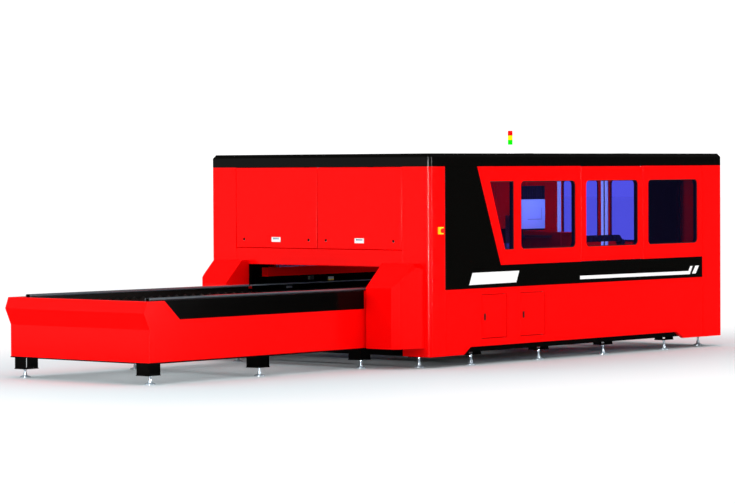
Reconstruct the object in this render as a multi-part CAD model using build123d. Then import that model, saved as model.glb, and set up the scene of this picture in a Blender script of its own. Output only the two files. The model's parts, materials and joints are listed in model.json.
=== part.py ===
from build123d import *
import os
from math import atan2, copysign, cos, degrees, hypot, pi, sin

# Enclosed laser cutting machine with an exchange table.
# Millimetres, +Z up, floor at Z = 0. X runs along the machine, from the
# exchange table to the rear wall, and the operator stands at -Y.
# The origin lies on the floor below the middle of the whole machine.

# Cabin
CABIN_LENGTH = 5308
CABIN_WIDTH = 3120
EAVES_HEIGHT = 2094
SKIRT_HEIGHT = 118
CORNER_RADIUS = 45
CAP_HEIGHT = 134
CAP_CHAMFER_RISE = 35
CAP_CHAMFER_INSET = 35
CAP_FLANGE = 70
ROOF_SHEET_OVERLAP = 60
ROOF_SHEET_COUNT = 3
ROOF_RIB_HEIGHT = 5

# Folded sheet
SHEET = 3
PAN_DEPTH = 40
BEND_RADIUS = 5
DOOR_GAP = 4
OVERRUN = 10

# Pivot pins of doors and flaps
PIN_RADIUS = 5
PIN_LENGTH = 24
PIN_CLEARANCE = 0.3
PIVOT_INSET = 30
PIVOT_DEPTH = 13

# Operator side, stations measured along it from the entry wall
CORNER_FRONT_LEG = 250
CORNER_ENTRY_LEG = 371
CORNER_REAR_LEG = 250
CORNER_SIDE_LEG = 398
SLANT_TOP = 788
SLANT_FOOT = 1184
BAND_LOW = 808
BAND_HIGH = 1044
DOOR_SEAM = 2594
WINDOW_MARGIN = 95.5
WINDOW_LOW = 1206
WINDOW_HIGH = 1936
WINDOW_RADIUS = 55
WINDOW_REVEAL = 8
DOOR_WINDOW_REVEAL = 8
KEY_WINDOW_TOP_START = 1000
KEY_WINDOW_FOOT_START = 1255
KEY_WINDOW_END = 1410
SEAL_LIP = 8
SEAL_MARGIN = 12
SEAL_THICKNESS = 3
GLASS_THICKNESS = 6
NOTCH_START = 559
NOTCH_TAIL = 775
NOTCH_RUN_IN = 110
NOTCH_RUN_OUT = 134
NOTCH_HEIGHT = 195

# Service doors low on the operator side
SERVICE_STARTS = (855, 1517)
SERVICE_WIDTH = 420
SERVICE_HEIGHT = 458
SERVICE_LOW = 278
LATCH_WIDTH = 20
LATCH_HEIGHT = 69
LATCH_INSET = 48
LATCH_RISE = 226
LATCH_PROUD = 6
LATCH_STEM_RADIUS = 6
LATCH_STEM_LENGTH = 22

# Emergency stop on the front corner panel
ESTOP_STATION = 162
ESTOP_HEIGHT = 1428
ESTOP_BOX_WIDTH = 55
ESTOP_BOX_HEIGHT = 75
ESTOP_BOX_DEPTH = 32
ESTOP_BOX_RADIUS = 5
ESTOP_STEM_RADIUS = 10
ESTOP_STEM_LENGTH = 12
ESTOP_TRAVEL = 4
ESTOP_CAP_RADIUS = 25
ESTOP_CAP_LENGTH = 18
ESTOP_CAP_ROUND = 6

# Entry end
FLAP_LOW = 1225
FLAP_HANGER = 4
FLAP_HANGER_HEIGHT = 62
OPENING_TOP = 1045
JAMB_WIDTH = 186
JAMB_LOW = 213
PULL_WIDTH = 130
PULL_HEIGHT = 52
PULL_PROUD = 3
PULL_WALL = 4
PULL_DEPTH = 22
PULL_BAR_HEIGHT = 12
PULL_RISE = 91
PULL_CORNER = 8
LOCK_RADIUS = 13
LOCK_PROUD = 3
LOCK_DEPTH = 24
LOCK_RISE = 89
LOCK_INSET = 117

# Hoods beside the opening, reaches measured out from the entry wall
HOOD_LOW = 210
HOOD_HIGH = 1088
HOOD_REACH = 370
HOOD_FLAT = 110
HOOD_NOSE_HIGH = 840
HOOD_SIDE_REACH = 305
HOOD_SIDE_MARGIN = 74
HOOD_KNEE_MARGIN = 147
HOOD_NOSE_MARGIN = 212
HOOD_CHAMFER = 65

# Exchange table, reaches measured out from the entry wall
TABLE_REACH = 3519
BUMPER_REACH = 75
BUMPER_TOP_REACH = 32
BUMPER_TIP_HEIGHT = 697
BUMPER_FOLD_HEIGHT = 533
TABLE_SIDE_MARGIN = 51
TABLE_TOP = 808
TABLE_LOW = 214
TABLE_TAIL_GAP = 20
TABLE_LIP = 12
TABLE_LIP_PROUD = 2
TABLE_BEAM_TOP = 782
CROSS_BEAM_WIDTH = 80
CROSS_BEAM_HEIGHT = 90
LEG_COUNT = 3
LEG_START = 102
LEG_TAIL = 314
LEG_WIDTH = 168
LEG_DEPTH = 158
LEG_FOOT_SETBACK = 58
LEG_WALL = 8
LEG_PLATE_MARGIN = 8
LEG_LOW = 86

# Pallets and their tracks
PALLET_LENGTH = 3200
PALLET_SIDE_GAP = 62
PALLET_END_MARGIN = 115
PALLET_TRAVEL = 3900
PALLET_TOP = 833
PALLET_TUBE_WIDTH = 50
PALLET_TUBE_HEIGHT = 80
PALLET_END_DROP = 73
LEVEL_DROP = 180
SLAT_COUNT = 24
SLAT_THICKNESS = 4
SLAT_HEIGHT = 85
SLAT_DROP = 68
SLAT_TEETH = 14
SLAT_TOOTH_DEPTH = 30
ROLLER_RADIUS = 30
ROLLER_WIDTH = 26
ROLLER_COUNT = 4
ROLLER_MARGIN = 200
ROLLER_DROP = 58
AXLE_RADIUS = 9
AXLE_LENGTH = 12
TRACK_SETBACK = 73
TRACK_LEDGE = 55
TRACK_THICKNESS = 12
TRACK_HEIGHT = 60
TRACK_CLEARANCE = 0.3
BED_TRACK_TAIL = 1308

# Exchange drive on the table's cross beam by the cabin
DRIVE_HEIGHT = 400
DRIVE_SHAFT_RADIUS = 18
DRIVE_SHAFT_CLEARANCE = 0.06
DRIVE_SHAFT_END_GAP = 2
BEARING_SIDE = 90
BEARING_WIDTH = 40
SPROCKET_RADIUS = 60
SPROCKET_ROOT_RADIUS = 52
SPROCKET_TEETH = 16
SPROCKET_THICKNESS = 12
SPROCKET_INSET = 90
GEARBOX_LENGTH = 100
GEARBOX_WIDTH = 130
GEARBOX_TOP = 480
GEARBOX_CHAMFER = 12
GEAR_MOTOR_RADIUS = 60
GEAR_MOTOR_LENGTH = 200

# Base frame and bed
RAIL_WIDTH = 80
RAIL_LOW = 140
RAIL_HIGH = 268
SILL_WIDTH = 100
SILL_HIGH = 213
FOOT_COUNT = 4
FOOT_START = 771
FOOT_TAIL = 1043
FOOT_SETBACK = 85
CORNER_FOOT_STATION = 125
CORNER_FOOT_SETBACK = 255
BRACKET_WIDTH = 210
BRACKET_DEPTH = 110
BRACKET_LOW = 108
BRACKET_WALL = 8
BED_START = 85
BED_END_MARGIN = 120
BEAM_WIDTH = 200
BEAM_HIGH = 1000
BEAM_HEIGHT = 95
BEAM_WALL = 8
BEAM_START = 220
BEAM_NOSE_WIDTH = 80
GUIDE_START = 450
POST_STATIONS = (1455, 2562, 3745, 4895)
POST_SIDE = 40
POST_SETBACK = 60
GUIDE_WIDTH = 30
GUIDE_HEIGHT = 28
RACK_WIDTH = 20
RACK_HEIGHT = 22
RACK_GAP = 40

# Levelling feet
FOOT_RADIUS = 53
FOOT_RIM = 8
FOOT_WAIST_RADIUS = 23
FOOT_WAIST_HEIGHT = 20
FOOT_BELL_HEIGHT = 52
FOOT_NECK_RADIUS = 15
STUD_RADIUS = 11
STUD_TOP = 30
NUT_RADIUS = 17
NUT_HEIGHT = 14

# Gantry, carriage and head
GANTRY_STATION = 2900
GANTRY_WIDTH = 220
GANTRY_LOW = 1110
GANTRY_HIGH = 1360
GANTRY_WALL = 10
TRUCK_LENGTH = 460
TRUCK_WIDTH = 170
TRUCK_THICKNESS = 30
BLOCK_LENGTH = 100
BLOCK_WIDTH = 70
BLOCK_SPACING = 330
GUIDE_CLEARANCE = 0.3
GUIDE_GRIP = 18
DRIVE_MOTOR_SIDE = 100
DRIVE_MOTOR_HEIGHT = 210
DRIVE_MOTOR_OFFSET = 165
CROSS_RAIL_WIDTH = 25
CROSS_RAIL_DEPTH = 18
CROSS_RAIL_MARGIN = 120
CROSS_RAIL_INSET = 50
HEAD_OFFSET = -465
CARRIAGE_WIDTH = 300
CARRIAGE_THICKNESS = 20
CARRIAGE_LOW = 1080
CARRIAGE_CLEARANCE = 12
SHELF_LENGTH = 400
COVER_LENGTH = 430
COVER_WIDTH = 110
COVER_HEIGHT = 330
COVER_RADIUS = 14
COVER_GROOVE = 6
COVER_GROOVE_DEPTH = 3
COVER_GROOVE_SHARES = (0.24, 0.84, 0.3, 0.7)
LIFT_MOTOR_MARGIN = 5
LIFT_MOTOR_HEIGHT = 150
LIFT_MOTOR_FINS = 9
LIFT_MOTOR_FIN_DEPTH = 8
SLIDE_WIDTH = 140
SLIDE_THICKNESS = 24
SLIDE_HEIGHT = 560
SLIDE_CLEARANCE = 0.3
HEAD_RADIUS = 48
HEAD_STANDOFF = 14
HEAD_HEIGHT = 250
HEAD_WAIST_RADIUS = 34
HEAD_WAIST_HEIGHT = 60
NOZZLE_REST = 880
NOZZLE_RADIUS = 15
NOZZLE_TIP_RADIUS = 4
NOZZLE_HEIGHT = 40
NOZZLE_BORE_RADIUS = 1.5

# Cable chain on its tray beside the near bed beam
CHAIN_WIDTH = 70
CHAIN_THICKNESS = 72
CHAIN_BEND_RADIUS = 118
CHAIN_BEND_STATION = 3750
CHAIN_LOW_START = 2250
CHAIN_HIGH_START = 3020
CHAIN_ARM = 40
CHAIN_PITCH = 90
CHAIN_LINK_SHARE = 0.9
CHAIN_LINK_CHAMFER = 25
CHAIN_CORE_SHARE = 0.72
TRAY_START = 700
TRAY_TAIL = 908
TRAY_WALL = 4
TRAY_LIP = 30
TRAY_GAP = 4

# Rear wall
REAR_DOOR_CENTRE = 129
REAR_DOOR_WIDTH = 716
REAR_DOOR_LOW = 300
REAR_WINDOW_WIDTH = 515

# Extraction outlet on the back wall
OUTLET_TAIL = 758
OUTLET_PANEL_LEAD = 320
OUTLET_HEIGHT = 480
OUTLET_RADIUS = 125
OUTLET_WALL = 3
OUTLET_LENGTH = 60
OUTLET_FLANGE_RADIUS = 165
OUTLET_FLANGE = 6

# Signal tower on the roof
TOWER_STATION = 1727
TOWER_SETBACK = 300
TOWER_RADIUS = 25
TOWER_TIER = 50
TOWER_TIER_COUNT = 3
TOWER_POLE_RADIUS = 11
TOWER_POLE_HEIGHT = 99
TOWER_FOOT_RADIUS = 36
TOWER_FOOT_HEIGHT = 10
TOWER_TOP_ROUND = 6

# Places worked out from the sizes above
MACHINE_LENGTH = CABIN_LENGTH + TABLE_REACH + BUMPER_REACH
ENTRY_X = TABLE_REACH + BUMPER_REACH - MACHINE_LENGTH / 2
REAR_X = ENTRY_X + CABIN_LENGTH
FRONT_Y = -CABIN_WIDTH / 2
BACK_Y = CABIN_WIDTH / 2
ROOF_HEIGHT = EAVES_HEIGHT + CAP_HEIGHT
END_SEAM = CABIN_LENGTH - CORNER_SIDE_LEG
BAY_WIDTH = (END_SEAM - DOOR_SEAM) / 2
WINDOW_WIDTH = BAY_WIDTH - 2 * WINDOW_MARGIN
NOTCH_END = CABIN_LENGTH - NOTCH_TAIL
FLAP_WIDTH = CABIN_WIDTH / 2 - CORNER_ENTRY_LEG
OPENING_WIDTH = 2 * (FLAP_WIDTH - JAMB_WIDTH)
TRACK_FACE = OPENING_WIDTH / 2 - TRACK_SETBACK
TABLE_WIDTH = 2 * (TRACK_FACE + TABLE_SIDE_MARGIN)
PALLET_WIDTH = 2 * (TRACK_FACE - PALLET_SIDE_GAP)
PALLET_OUT_REACH = TABLE_REACH - PALLET_END_MARGIN
BED_TRACK_END = CABIN_LENGTH - BED_TRACK_TAIL
GANTRY_OVERHANG = TRACK_FACE + BEAM_WIDTH
CROSS_RAIL_LENGTH = 2 * (GANTRY_OVERHANG - CROSS_RAIL_MARGIN)
TRAY_END = CABIN_LENGTH - TRAY_TAIL
OUTLET_STATION = CABIN_LENGTH - OUTLET_TAIL
SLAT_TIP = PALLET_TOP - SLAT_DROP
BEAM_MIDDLE = TRACK_FACE + BEAM_WIDTH / 2
BEAM_LOW = BEAM_HIGH - BEAM_HEIGHT
SILL_LOW = BRACKET_LOW + BRACKET_WALL
RAIL_MARGIN = PAN_DEPTH + SILL_WIDTH
GANTRY_X = ENTRY_X + GANTRY_STATION
BOTTOM = (Align.CENTER, Align.CENTER, Align.MIN)


def spread(first, last, count):
    """Evenly spaced stations from the first to the last."""
    return [first + index * (last - first) / (count - 1) for index in range(count)]


FOOT_STATIONS = spread(FOOT_START, CABIN_LENGTH - FOOT_TAIL, FOOT_COUNT)
LEG_STATIONS = spread(LEG_START - TABLE_REACH, -LEG_TAIL, LEG_COUNT)


def save(name, *shapes):
    """Write one node as a STEP file with each of its solids."""
    solids = [solid for shape in shapes for solid in shape.solids()]
    export_step(Compound(solids), f"parts/{name}.step")


def wall_plane(x, y, outward):
    """A plane on a wall's outer face, its normal outward and its local Y up."""
    out_x, out_y = outward
    return Plane(origin=(x, y, 0), x_dir=(-out_y, out_x, 0), z_dir=(out_x, out_y, 0))


# Local X runs from the entry wall on the long sides, and from the middle on the ends.
FRONT = wall_plane(ENTRY_X, FRONT_Y, (0, -1))
ENTRY = wall_plane(ENTRY_X, 0, (-1, 0))
BACK = wall_plane(ENTRY_X, BACK_Y, (0, 1))
REAR = wall_plane(REAR_X, 0, (1, 0))


def span(left, right, low, high):
    """A rectangle between two stations and two heights."""
    return Pos((left + right) / 2, (low + high) / 2) * Rectangle(right - left, high - low)


def block(x_low, x_high, y_low, y_high, z_low, z_high):
    """A box between opposite corners."""
    middle = Pos((x_low + x_high) / 2, (y_low + y_high) / 2, (z_low + z_high) / 2)
    return middle * Box(x_high - x_low, y_high - y_low, z_high - z_low)


def rod(start, direction, length, radius):
    """A round bar from a point along a direction."""
    return Plane(origin=start, z_dir=direction) * Cylinder(radius, length, align=BOTTOM)


def pan(plane, outline, holes=()):
    """A folded sheet panel with returns all round, open at the back.

    Each hole is an outline and the depth of the collar folded in around it.
    """
    body = extrude(plane * outline, amount=-PAN_DEPTH)
    face = body.faces().sort_by(Axis(plane.origin, plane.z_dir))[-1]
    body = fillet(face.edges(), BEND_RADIUS)
    hollow = offset(outline, -SHEET, kind=Kind.INTERSECTION)
    body -= extrude(plane.offset(-SHEET) * hollow, amount=-PAN_DEPTH)
    for hole, reveal in holes:
        collar = offset(hole, SHEET, kind=Kind.INTERSECTION)
        body += extrude(plane.offset(-SHEET) * collar, amount=SHEET - reveal)
        body -= extrude(plane.offset(OVERRUN) * hole, amount=-reveal - OVERRUN)
    return body


def glazing(plane, hole, reveal):
    """A window's rubber seal and the pane behind it, seated on the collar."""
    back = plane.offset(-reveal)
    rim = offset(hole, SEAL_MARGIN, kind=Kind.INTERSECTION)
    sight = offset(hole, -SEAL_LIP, kind=Kind.INTERSECTION)
    seal = extrude(back * (rim - sight), amount=-SEAL_THICKNESS)
    pane = extrude(back.offset(-SEAL_THICKNESS) * rim, amount=-GLASS_THICKNESS)
    return seal, pane


def pivot(leaf, places):
    """Bore a leaf for its pivot pins, and return the leaf and the pins."""
    pins = []
    for start, direction in places:
        pins.append(rod(start, direction, PIN_LENGTH, PIN_RADIUS))
        leaf -= rod(start, direction, PIN_LENGTH + OVERRUN, PIN_RADIUS + PIN_CLEARANCE)
    return leaf, pins


def upright_pivots(plane, station, low, high):
    """Where a side-hung leaf's pins leave the sill below and the lintel above."""
    foot = plane * Pos(station, low, -PIVOT_DEPTH)
    head = plane * Pos(station, high, -PIVOT_DEPTH)
    return [(foot.position, (0, 0, 1)), (head.position, (0, 0, -1))]


def window(middle, width):
    """A rounded window outline at the height of the row."""
    height = WINDOW_HIGH - WINDOW_LOW
    return Pos(middle, WINDOW_LOW + height / 2) * RectangleRounded(width, height, WINDOW_RADIUS)


def corner_panel(side_leg, end_leg):
    """A corner panel in plan, its outer corner at the origin and legs along +X and +Y."""
    legs = span(0, side_leg, 0, PAN_DEPTH) + span(0, PAN_DEPTH, 0, end_leg)
    room = span(SHEET, side_leg - SHEET, SHEET, PAN_DEPTH + OVERRUN)
    room += span(SHEET, PAN_DEPTH + OVERRUN, SHEET, end_leg - SHEET)
    outer = legs.vertices().sort_by(lambda v: v.X + v.Y)[0]
    inner = room.vertices().sort_by(lambda v: v.X + v.Y)[0]
    section = fillet(outer, CORNER_RADIUS) - fillet(inner, CORNER_RADIUS - SHEET)
    return extrude(Pos(0, 0, SKIRT_HEIGHT) * section, amount=EAVES_HEIGHT - SKIRT_HEIGHT)


def corner_panels():
    """The four corner panels, the far pair mirrored from the near pair."""
    entry = Pos(ENTRY_X, FRONT_Y) * corner_panel(CORNER_FRONT_LEG, CORNER_ENTRY_LEG)
    rear_plan = mirror(corner_panel(CORNER_SIDE_LEG, CORNER_REAR_LEG), Plane.YZ)
    rear = Pos(REAR_X, FRONT_Y) * rear_plan
    return [entry, rear, mirror(entry, Plane.XZ), mirror(rear, Plane.XZ)]


def roof_cap():
    """The black cap: four fascia lengths with a chamfered top, mitred at the corners,
    and a flange below that the walls meet.
    """
    rise = CAP_HEIGHT - CAP_CHAMFER_RISE
    slope = degrees(atan2(CAP_CHAMFER_INSET, CAP_CHAMFER_RISE))
    middle = Pos((ENTRY_X + REAR_X) / 2, 0, EAVES_HEIGHT)

    def form(inset, low, high):
        plan = RectangleRounded(CABIN_LENGTH - 2 * inset, CABIN_WIDTH - 2 * inset, CORNER_RADIUS - inset)
        wall = extrude(Pos(0, 0, low) * plan, amount=high - low)
        top = wall.faces().sort_by(Axis.Z)[-1]
        return wall + extrude(top, amount=CAP_CHAMFER_RISE, taper=slope)

    def well(inset):
        return Rectangle(CABIN_LENGTH - 2 * inset, CABIN_WIDTH - 2 * inset)

    cap = form(0, 0, rise) - form(SHEET, SHEET, rise - SHEET)
    cap -= extrude(well(CAP_FLANGE), amount=SHEET)
    cap -= extrude(Pos(0, 0, rise) * well(CAP_CHAMFER_INSET + ROOF_SHEET_OVERLAP), amount=CAP_HEIGHT)
    half_length = CABIN_LENGTH / 2
    half_width = CABIN_WIDTH / 2
    ridge = half_length - half_width
    side = Polygon((-half_length, -half_width), (half_length, -half_width), (ridge, 0), (-ridge, 0))
    end = Polygon((-half_length, half_width), (-half_length, -half_width), (-ridge, 0))
    lengths = [cap & extrude(plan, amount=CAP_HEIGHT) for plan in (side, end)]
    near, entry = lengths
    lengths += [mirror(near, Plane.XZ), mirror(entry, Plane.YZ)]
    return [middle * length for length in lengths]


def roof_sheets():
    """Roof sheets that lie on the cap, with upstanding ribs where two of them meet."""
    length = (CABIN_LENGTH - 2 * CAP_CHAMFER_INSET) / ROOF_SHEET_COUNT
    half = CABIN_WIDTH / 2 - CAP_CHAMFER_INSET
    rib_top = ROOF_HEIGHT + ROOF_RIB_HEIGHT
    sheets = []
    for index in range(ROOF_SHEET_COUNT):
        left = ENTRY_X + CAP_CHAMFER_INSET + index * length
        right = left + length
        sheet = block(left, right, -half, half, ROOF_HEIGHT, ROOF_HEIGHT + SHEET)
        if index > 0:
            sheet += block(left, left + SHEET, -half, half, ROOF_HEIGHT, rib_top)
        if index < ROOF_SHEET_COUNT - 1:
            sheet += block(right - SHEET, right, -half, half, ROOF_HEIGHT, rib_top)
        sheets.append(sheet)
    return sheets


def skirt_outline(start, end):
    """The lower side panel: its foot steps up between the notches."""
    return Polygon(
        (start, SKIRT_HEIGHT),
        (NOTCH_START, SKIRT_HEIGHT),
        (NOTCH_START + NOTCH_RUN_IN, NOTCH_HEIGHT),
        (NOTCH_END - NOTCH_RUN_OUT, NOTCH_HEIGHT),
        (NOTCH_END, SKIRT_HEIGHT),
        (end, SKIRT_HEIGHT),
        (end, BAND_LOW),
        (start, BAND_LOW),
    )


def operator_side():
    """The panels, windows and doors of the operator side."""
    doorways = []
    for start in SERVICE_STARTS:
        doorway = span(
            start - DOOR_GAP,
            start + SERVICE_WIDTH + DOOR_GAP,
            SERVICE_LOW - DOOR_GAP,
            SERVICE_LOW + SERVICE_HEIGHT + DOOR_GAP,
        )
        doorways.append((doorway, PAN_DEPTH))
    save("front_lower_panel", pan(FRONT, skirt_outline(CORNER_FRONT_LEG, END_SEAM), doorways))

    black = Polygon(
        (CORNER_FRONT_LEG, BAND_LOW),
        (END_SEAM, BAND_LOW),
        (END_SEAM, BAND_HIGH),
        (SLANT_FOOT, BAND_HIGH),
        (SLANT_TOP, EAVES_HEIGHT),
        (CORNER_FRONT_LEG, EAVES_HEIGHT),
    )
    save("front_black_panel", pan(FRONT, black))

    key_window = Polygon(
        (KEY_WINDOW_FOOT_START, WINDOW_LOW),
        (KEY_WINDOW_END, WINDOW_LOW),
        (KEY_WINDOW_END, WINDOW_HIGH),
        (KEY_WINDOW_TOP_START, WINDOW_HIGH),
    )
    first = window(DOOR_SEAM - BAY_WIDTH / 2, WINDOW_WIDTH)
    last = window(END_SEAM - BAY_WIDTH / 2, WINDOW_WIDTH)
    slanted = Polygon(
        (SLANT_FOOT, BAND_HIGH),
        (DOOR_SEAM, BAND_HIGH),
        (DOOR_SEAM, EAVES_HEIGHT),
        (SLANT_TOP, EAVES_HEIGHT),
    )
    end_bay = span(END_SEAM - BAY_WIDTH, END_SEAM, BAND_HIGH, EAVES_HEIGHT)
    slanted_panel = pan(FRONT, slanted, [(key_window, WINDOW_REVEAL), (first, WINDOW_REVEAL)])
    save("front_window_panels", slanted_panel, pan(FRONT, end_bay, [(last, WINDOW_REVEAL)]))
    fixed = [glazing(FRONT, hole, WINDOW_REVEAL) for hole in (key_window, first, last)]
    save("front_window_seals", *[seal for seal, _ in fixed])
    save("front_window_glass", *[pane for _, pane in fixed])

    right = DOOR_SEAM + BAY_WIDTH - DOOR_GAP
    leaf = span(DOOR_SEAM + DOOR_GAP, right, BAND_HIGH + DOOR_GAP, EAVES_HEIGHT - DOOR_GAP)
    hole = window(DOOR_SEAM + BAY_WIDTH / 2, WINDOW_WIDTH)
    door = pan(FRONT, leaf, [(hole, DOOR_WINDOW_REVEAL)])
    door, pins = pivot(door, upright_pivots(FRONT, right - PIVOT_INSET, BAND_HIGH, EAVES_HEIGHT))
    seal, pane = glazing(FRONT, hole, DOOR_WINDOW_REVEAL)
    save("front_door", door)
    save("front_door_seal", seal)
    save("front_door_glass", pane)
    return pins


def service_doors():
    """The two service doors, each with its quarter-turn latch, and their pins."""
    pins = []
    low = SERVICE_LOW
    high = low + SERVICE_HEIGHT
    for number, start in enumerate(SERVICE_STARTS, 1):
        right = start + SERVICE_WIDTH
        door = pan(FRONT, span(start, right, low, high))
        places = upright_pivots(FRONT, right - PIVOT_INSET, low - DOOR_GAP, high + DOOR_GAP)
        door, door_pins = pivot(door, places)
        pins += door_pins
        seat = FRONT * Pos(start + LATCH_INSET, low + LATCH_RISE)
        door -= seat * Cylinder(LATCH_STEM_RADIUS + PIN_CLEARANCE, PAN_DEPTH)
        save(f"service_door_{number}", door)
        bar = RectangleRounded(LATCH_WIDTH, LATCH_HEIGHT, LATCH_WIDTH / 3)
        grip = extrude(seat * Pos(0, 0, PIN_CLEARANCE) * bar, amount=LATCH_PROUD)
        stem = seat * Pos(0, 0, PIN_CLEARANCE - LATCH_STEM_LENGTH)
        stem *= Cylinder(LATCH_STEM_RADIUS, LATCH_STEM_LENGTH, align=BOTTOM)
        save(f"service_latch_{number}", grip + stem)
    return pins


def emergency_stop():
    """The yellow box on the corner panel and its mushroom button."""
    seat = FRONT * Pos(ESTOP_STATION, ESTOP_HEIGHT)
    face = RectangleRounded(ESTOP_BOX_WIDTH, ESTOP_BOX_HEIGHT, ESTOP_BOX_RADIUS)
    box = extrude(seat * face, amount=ESTOP_BOX_DEPTH)
    bore = Cylinder(ESTOP_STEM_RADIUS + PIN_CLEARANCE, ESTOP_BOX_DEPTH, align=BOTTOM)
    box -= seat * Pos(0, 0, ESTOP_BOX_DEPTH - ESTOP_STEM_LENGTH) * bore
    save("estop_box", box)
    stem_low = ESTOP_BOX_DEPTH - ESTOP_STEM_LENGTH + ESTOP_TRAVEL + PIN_CLEARANCE
    cap_low = ESTOP_BOX_DEPTH + ESTOP_TRAVEL + PIN_CLEARANCE
    stem = seat * Pos(0, 0, stem_low) * Cylinder(ESTOP_STEM_RADIUS, cap_low - stem_low, align=BOTTOM)
    cap = Pos(0, 0, cap_low) * Cylinder(ESTOP_CAP_RADIUS, ESTOP_CAP_LENGTH, align=BOTTOM)
    cap = chamfer(cap.edges().sort_by(Axis.Z)[-1], ESTOP_CAP_ROUND)
    save("estop_button", stem + seat * cap)


def entry_end():
    """The header and jambs of the entry wall, and the two flaps with their fittings."""
    half_opening = OPENING_WIDTH / 2
    header = pan(ENTRY, span(-FLAP_WIDTH, FLAP_WIDTH, OPENING_TOP, FLAP_LOW - DOOR_GAP))
    jamb = pan(ENTRY, span(half_opening, FLAP_WIDTH, JAMB_LOW, OPENING_TOP))
    save("entry_panels", header, jamb, mirror(jamb, Plane.XZ))

    top = EAVES_HEIGHT - DOOR_GAP
    inner = FLAP_HANGER / 2 + DOOR_GAP
    outer = FLAP_WIDTH - DOOR_GAP
    axis_height = top - PIVOT_INSET
    axis_x = ENTRY_X + PIVOT_DEPTH
    hanger = block(
        axis_x - PIN_RADIUS,
        ENTRY_X + PAN_DEPTH,
        -FLAP_HANGER / 2,
        FLAP_HANGER / 2,
        EAVES_HEIGHT - FLAP_HANGER_HEIGHT,
        EAVES_HEIGHT,
    )
    places = [
        ((axis_x, -FLAP_HANGER / 2, axis_height), (0, -1, 0)),
        ((axis_x, -FLAP_WIDTH, axis_height), (0, 1, 0)),
    ]
    flap, pins = pivot(pan(ENTRY, span(inner, outer, FLAP_LOW, top)), places)
    middle = (inner + outer) / 2
    plate = RectangleRounded(PULL_WIDTH, PULL_HEIGHT, PULL_CORNER)
    seat = ENTRY * Pos(middle, FLAP_LOW + PULL_RISE)
    recess = offset(plate, -PULL_WALL)
    flap -= extrude(seat * recess, amount=-PAN_DEPTH)
    room = offset(recess, -PULL_WALL)
    bezel = extrude(seat * plate, amount=PULL_PROUD) - extrude(seat * room, amount=PULL_PROUD)
    cup = extrude(seat * recess, amount=-PULL_DEPTH) - extrude(seat * room, amount=SHEET - PULL_DEPTH)
    bar = extrude(seat * Rectangle(PULL_WIDTH - 2 * PULL_WALL, PULL_BAR_HEIGHT), amount=-PULL_WALL)
    fittings = [bezel + cup + bar]
    for station in (inner + LOCK_INSET, outer - LOCK_INSET):
        place = ENTRY * Pos(station, FLAP_LOW + LOCK_RISE)
        flap -= place * Cylinder(LOCK_RADIUS - LOCK_PROUD, PAN_DEPTH)
        head = extrude(place * Circle(LOCK_RADIUS), amount=LOCK_PROUD)
        fittings.append(head + extrude(place * Circle(LOCK_RADIUS - LOCK_PROUD), amount=-LOCK_DEPTH))
    save("entry_flap_near", flap)
    save("entry_flap_far", mirror(flap, Plane.XZ))
    save("flap_fittings_near", *fittings)
    save("flap_fittings_far", *[mirror(fitting, Plane.XZ) for fitting in fittings])
    far_pins = [mirror(pin, Plane.XZ) for pin in pins]
    return [hanger + pins[0] + far_pins[0], pins[1], far_pins[1]]


def hood():
    """The hood on the operator's side of the opening: a sheet cover open to the cabin and below."""

    def form(inset, tail):
        inner = -OPENING_WIDTH / 2 - inset
        plan = Polygon(
            (tail, inner),
            (inset - HOOD_REACH, inner),
            (inset - HOOD_REACH, FRONT_Y + HOOD_NOSE_MARGIN + inset),
            (inset - HOOD_SIDE_REACH, FRONT_Y + HOOD_KNEE_MARGIN + inset),
            (tail, FRONT_Y + HOOD_SIDE_MARGIN + inset),
        )
        high = HOOD_HIGH - inset
        low = HOOD_LOW - tail
        side = Polygon(
            (tail, low),
            (tail, high),
            (-HOOD_FLAT, high),
            (inset - HOOD_REACH, HOOD_NOSE_HIGH - inset),
            (inset - HOOD_REACH, low),
        )
        edge = FRONT_Y + HOOD_SIDE_MARGIN + inset
        across = Polygon(
            (inner, low),
            (inner, high),
            (edge + HOOD_CHAMFER, high),
            (edge, high - HOOD_CHAMFER),
            (edge, low),
        )
        column = extrude(Pos(0, 0, low) * plan, amount=high - low)
        column &= extrude(Plane.XZ.offset(-inner) * side, amount=inner - edge, both=True)
        column &= extrude(Plane.YZ * across, amount=HOOD_REACH, both=True)
        ridge = Vector(-HOOD_FLAT, edge + HOOD_CHAMFER, high)
        down = Vector(inset - HOOD_REACH, edge + HOOD_CHAMFER, HOOD_NOSE_HIGH - inset) - ridge
        aside = Vector(0, -HOOD_CHAMFER, -HOOD_CHAMFER)
        slope = Plane(origin=ridge, x_dir=down, z_dir=down.cross(aside))
        return column - slope * Box(HOOD_HIGH, HOOD_HIGH, HOOD_HIGH, align=BOTTOM)

    return Pos(ENTRY_X, 0, 0) * (form(0, 0) - form(SHEET, OVERRUN))


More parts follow.
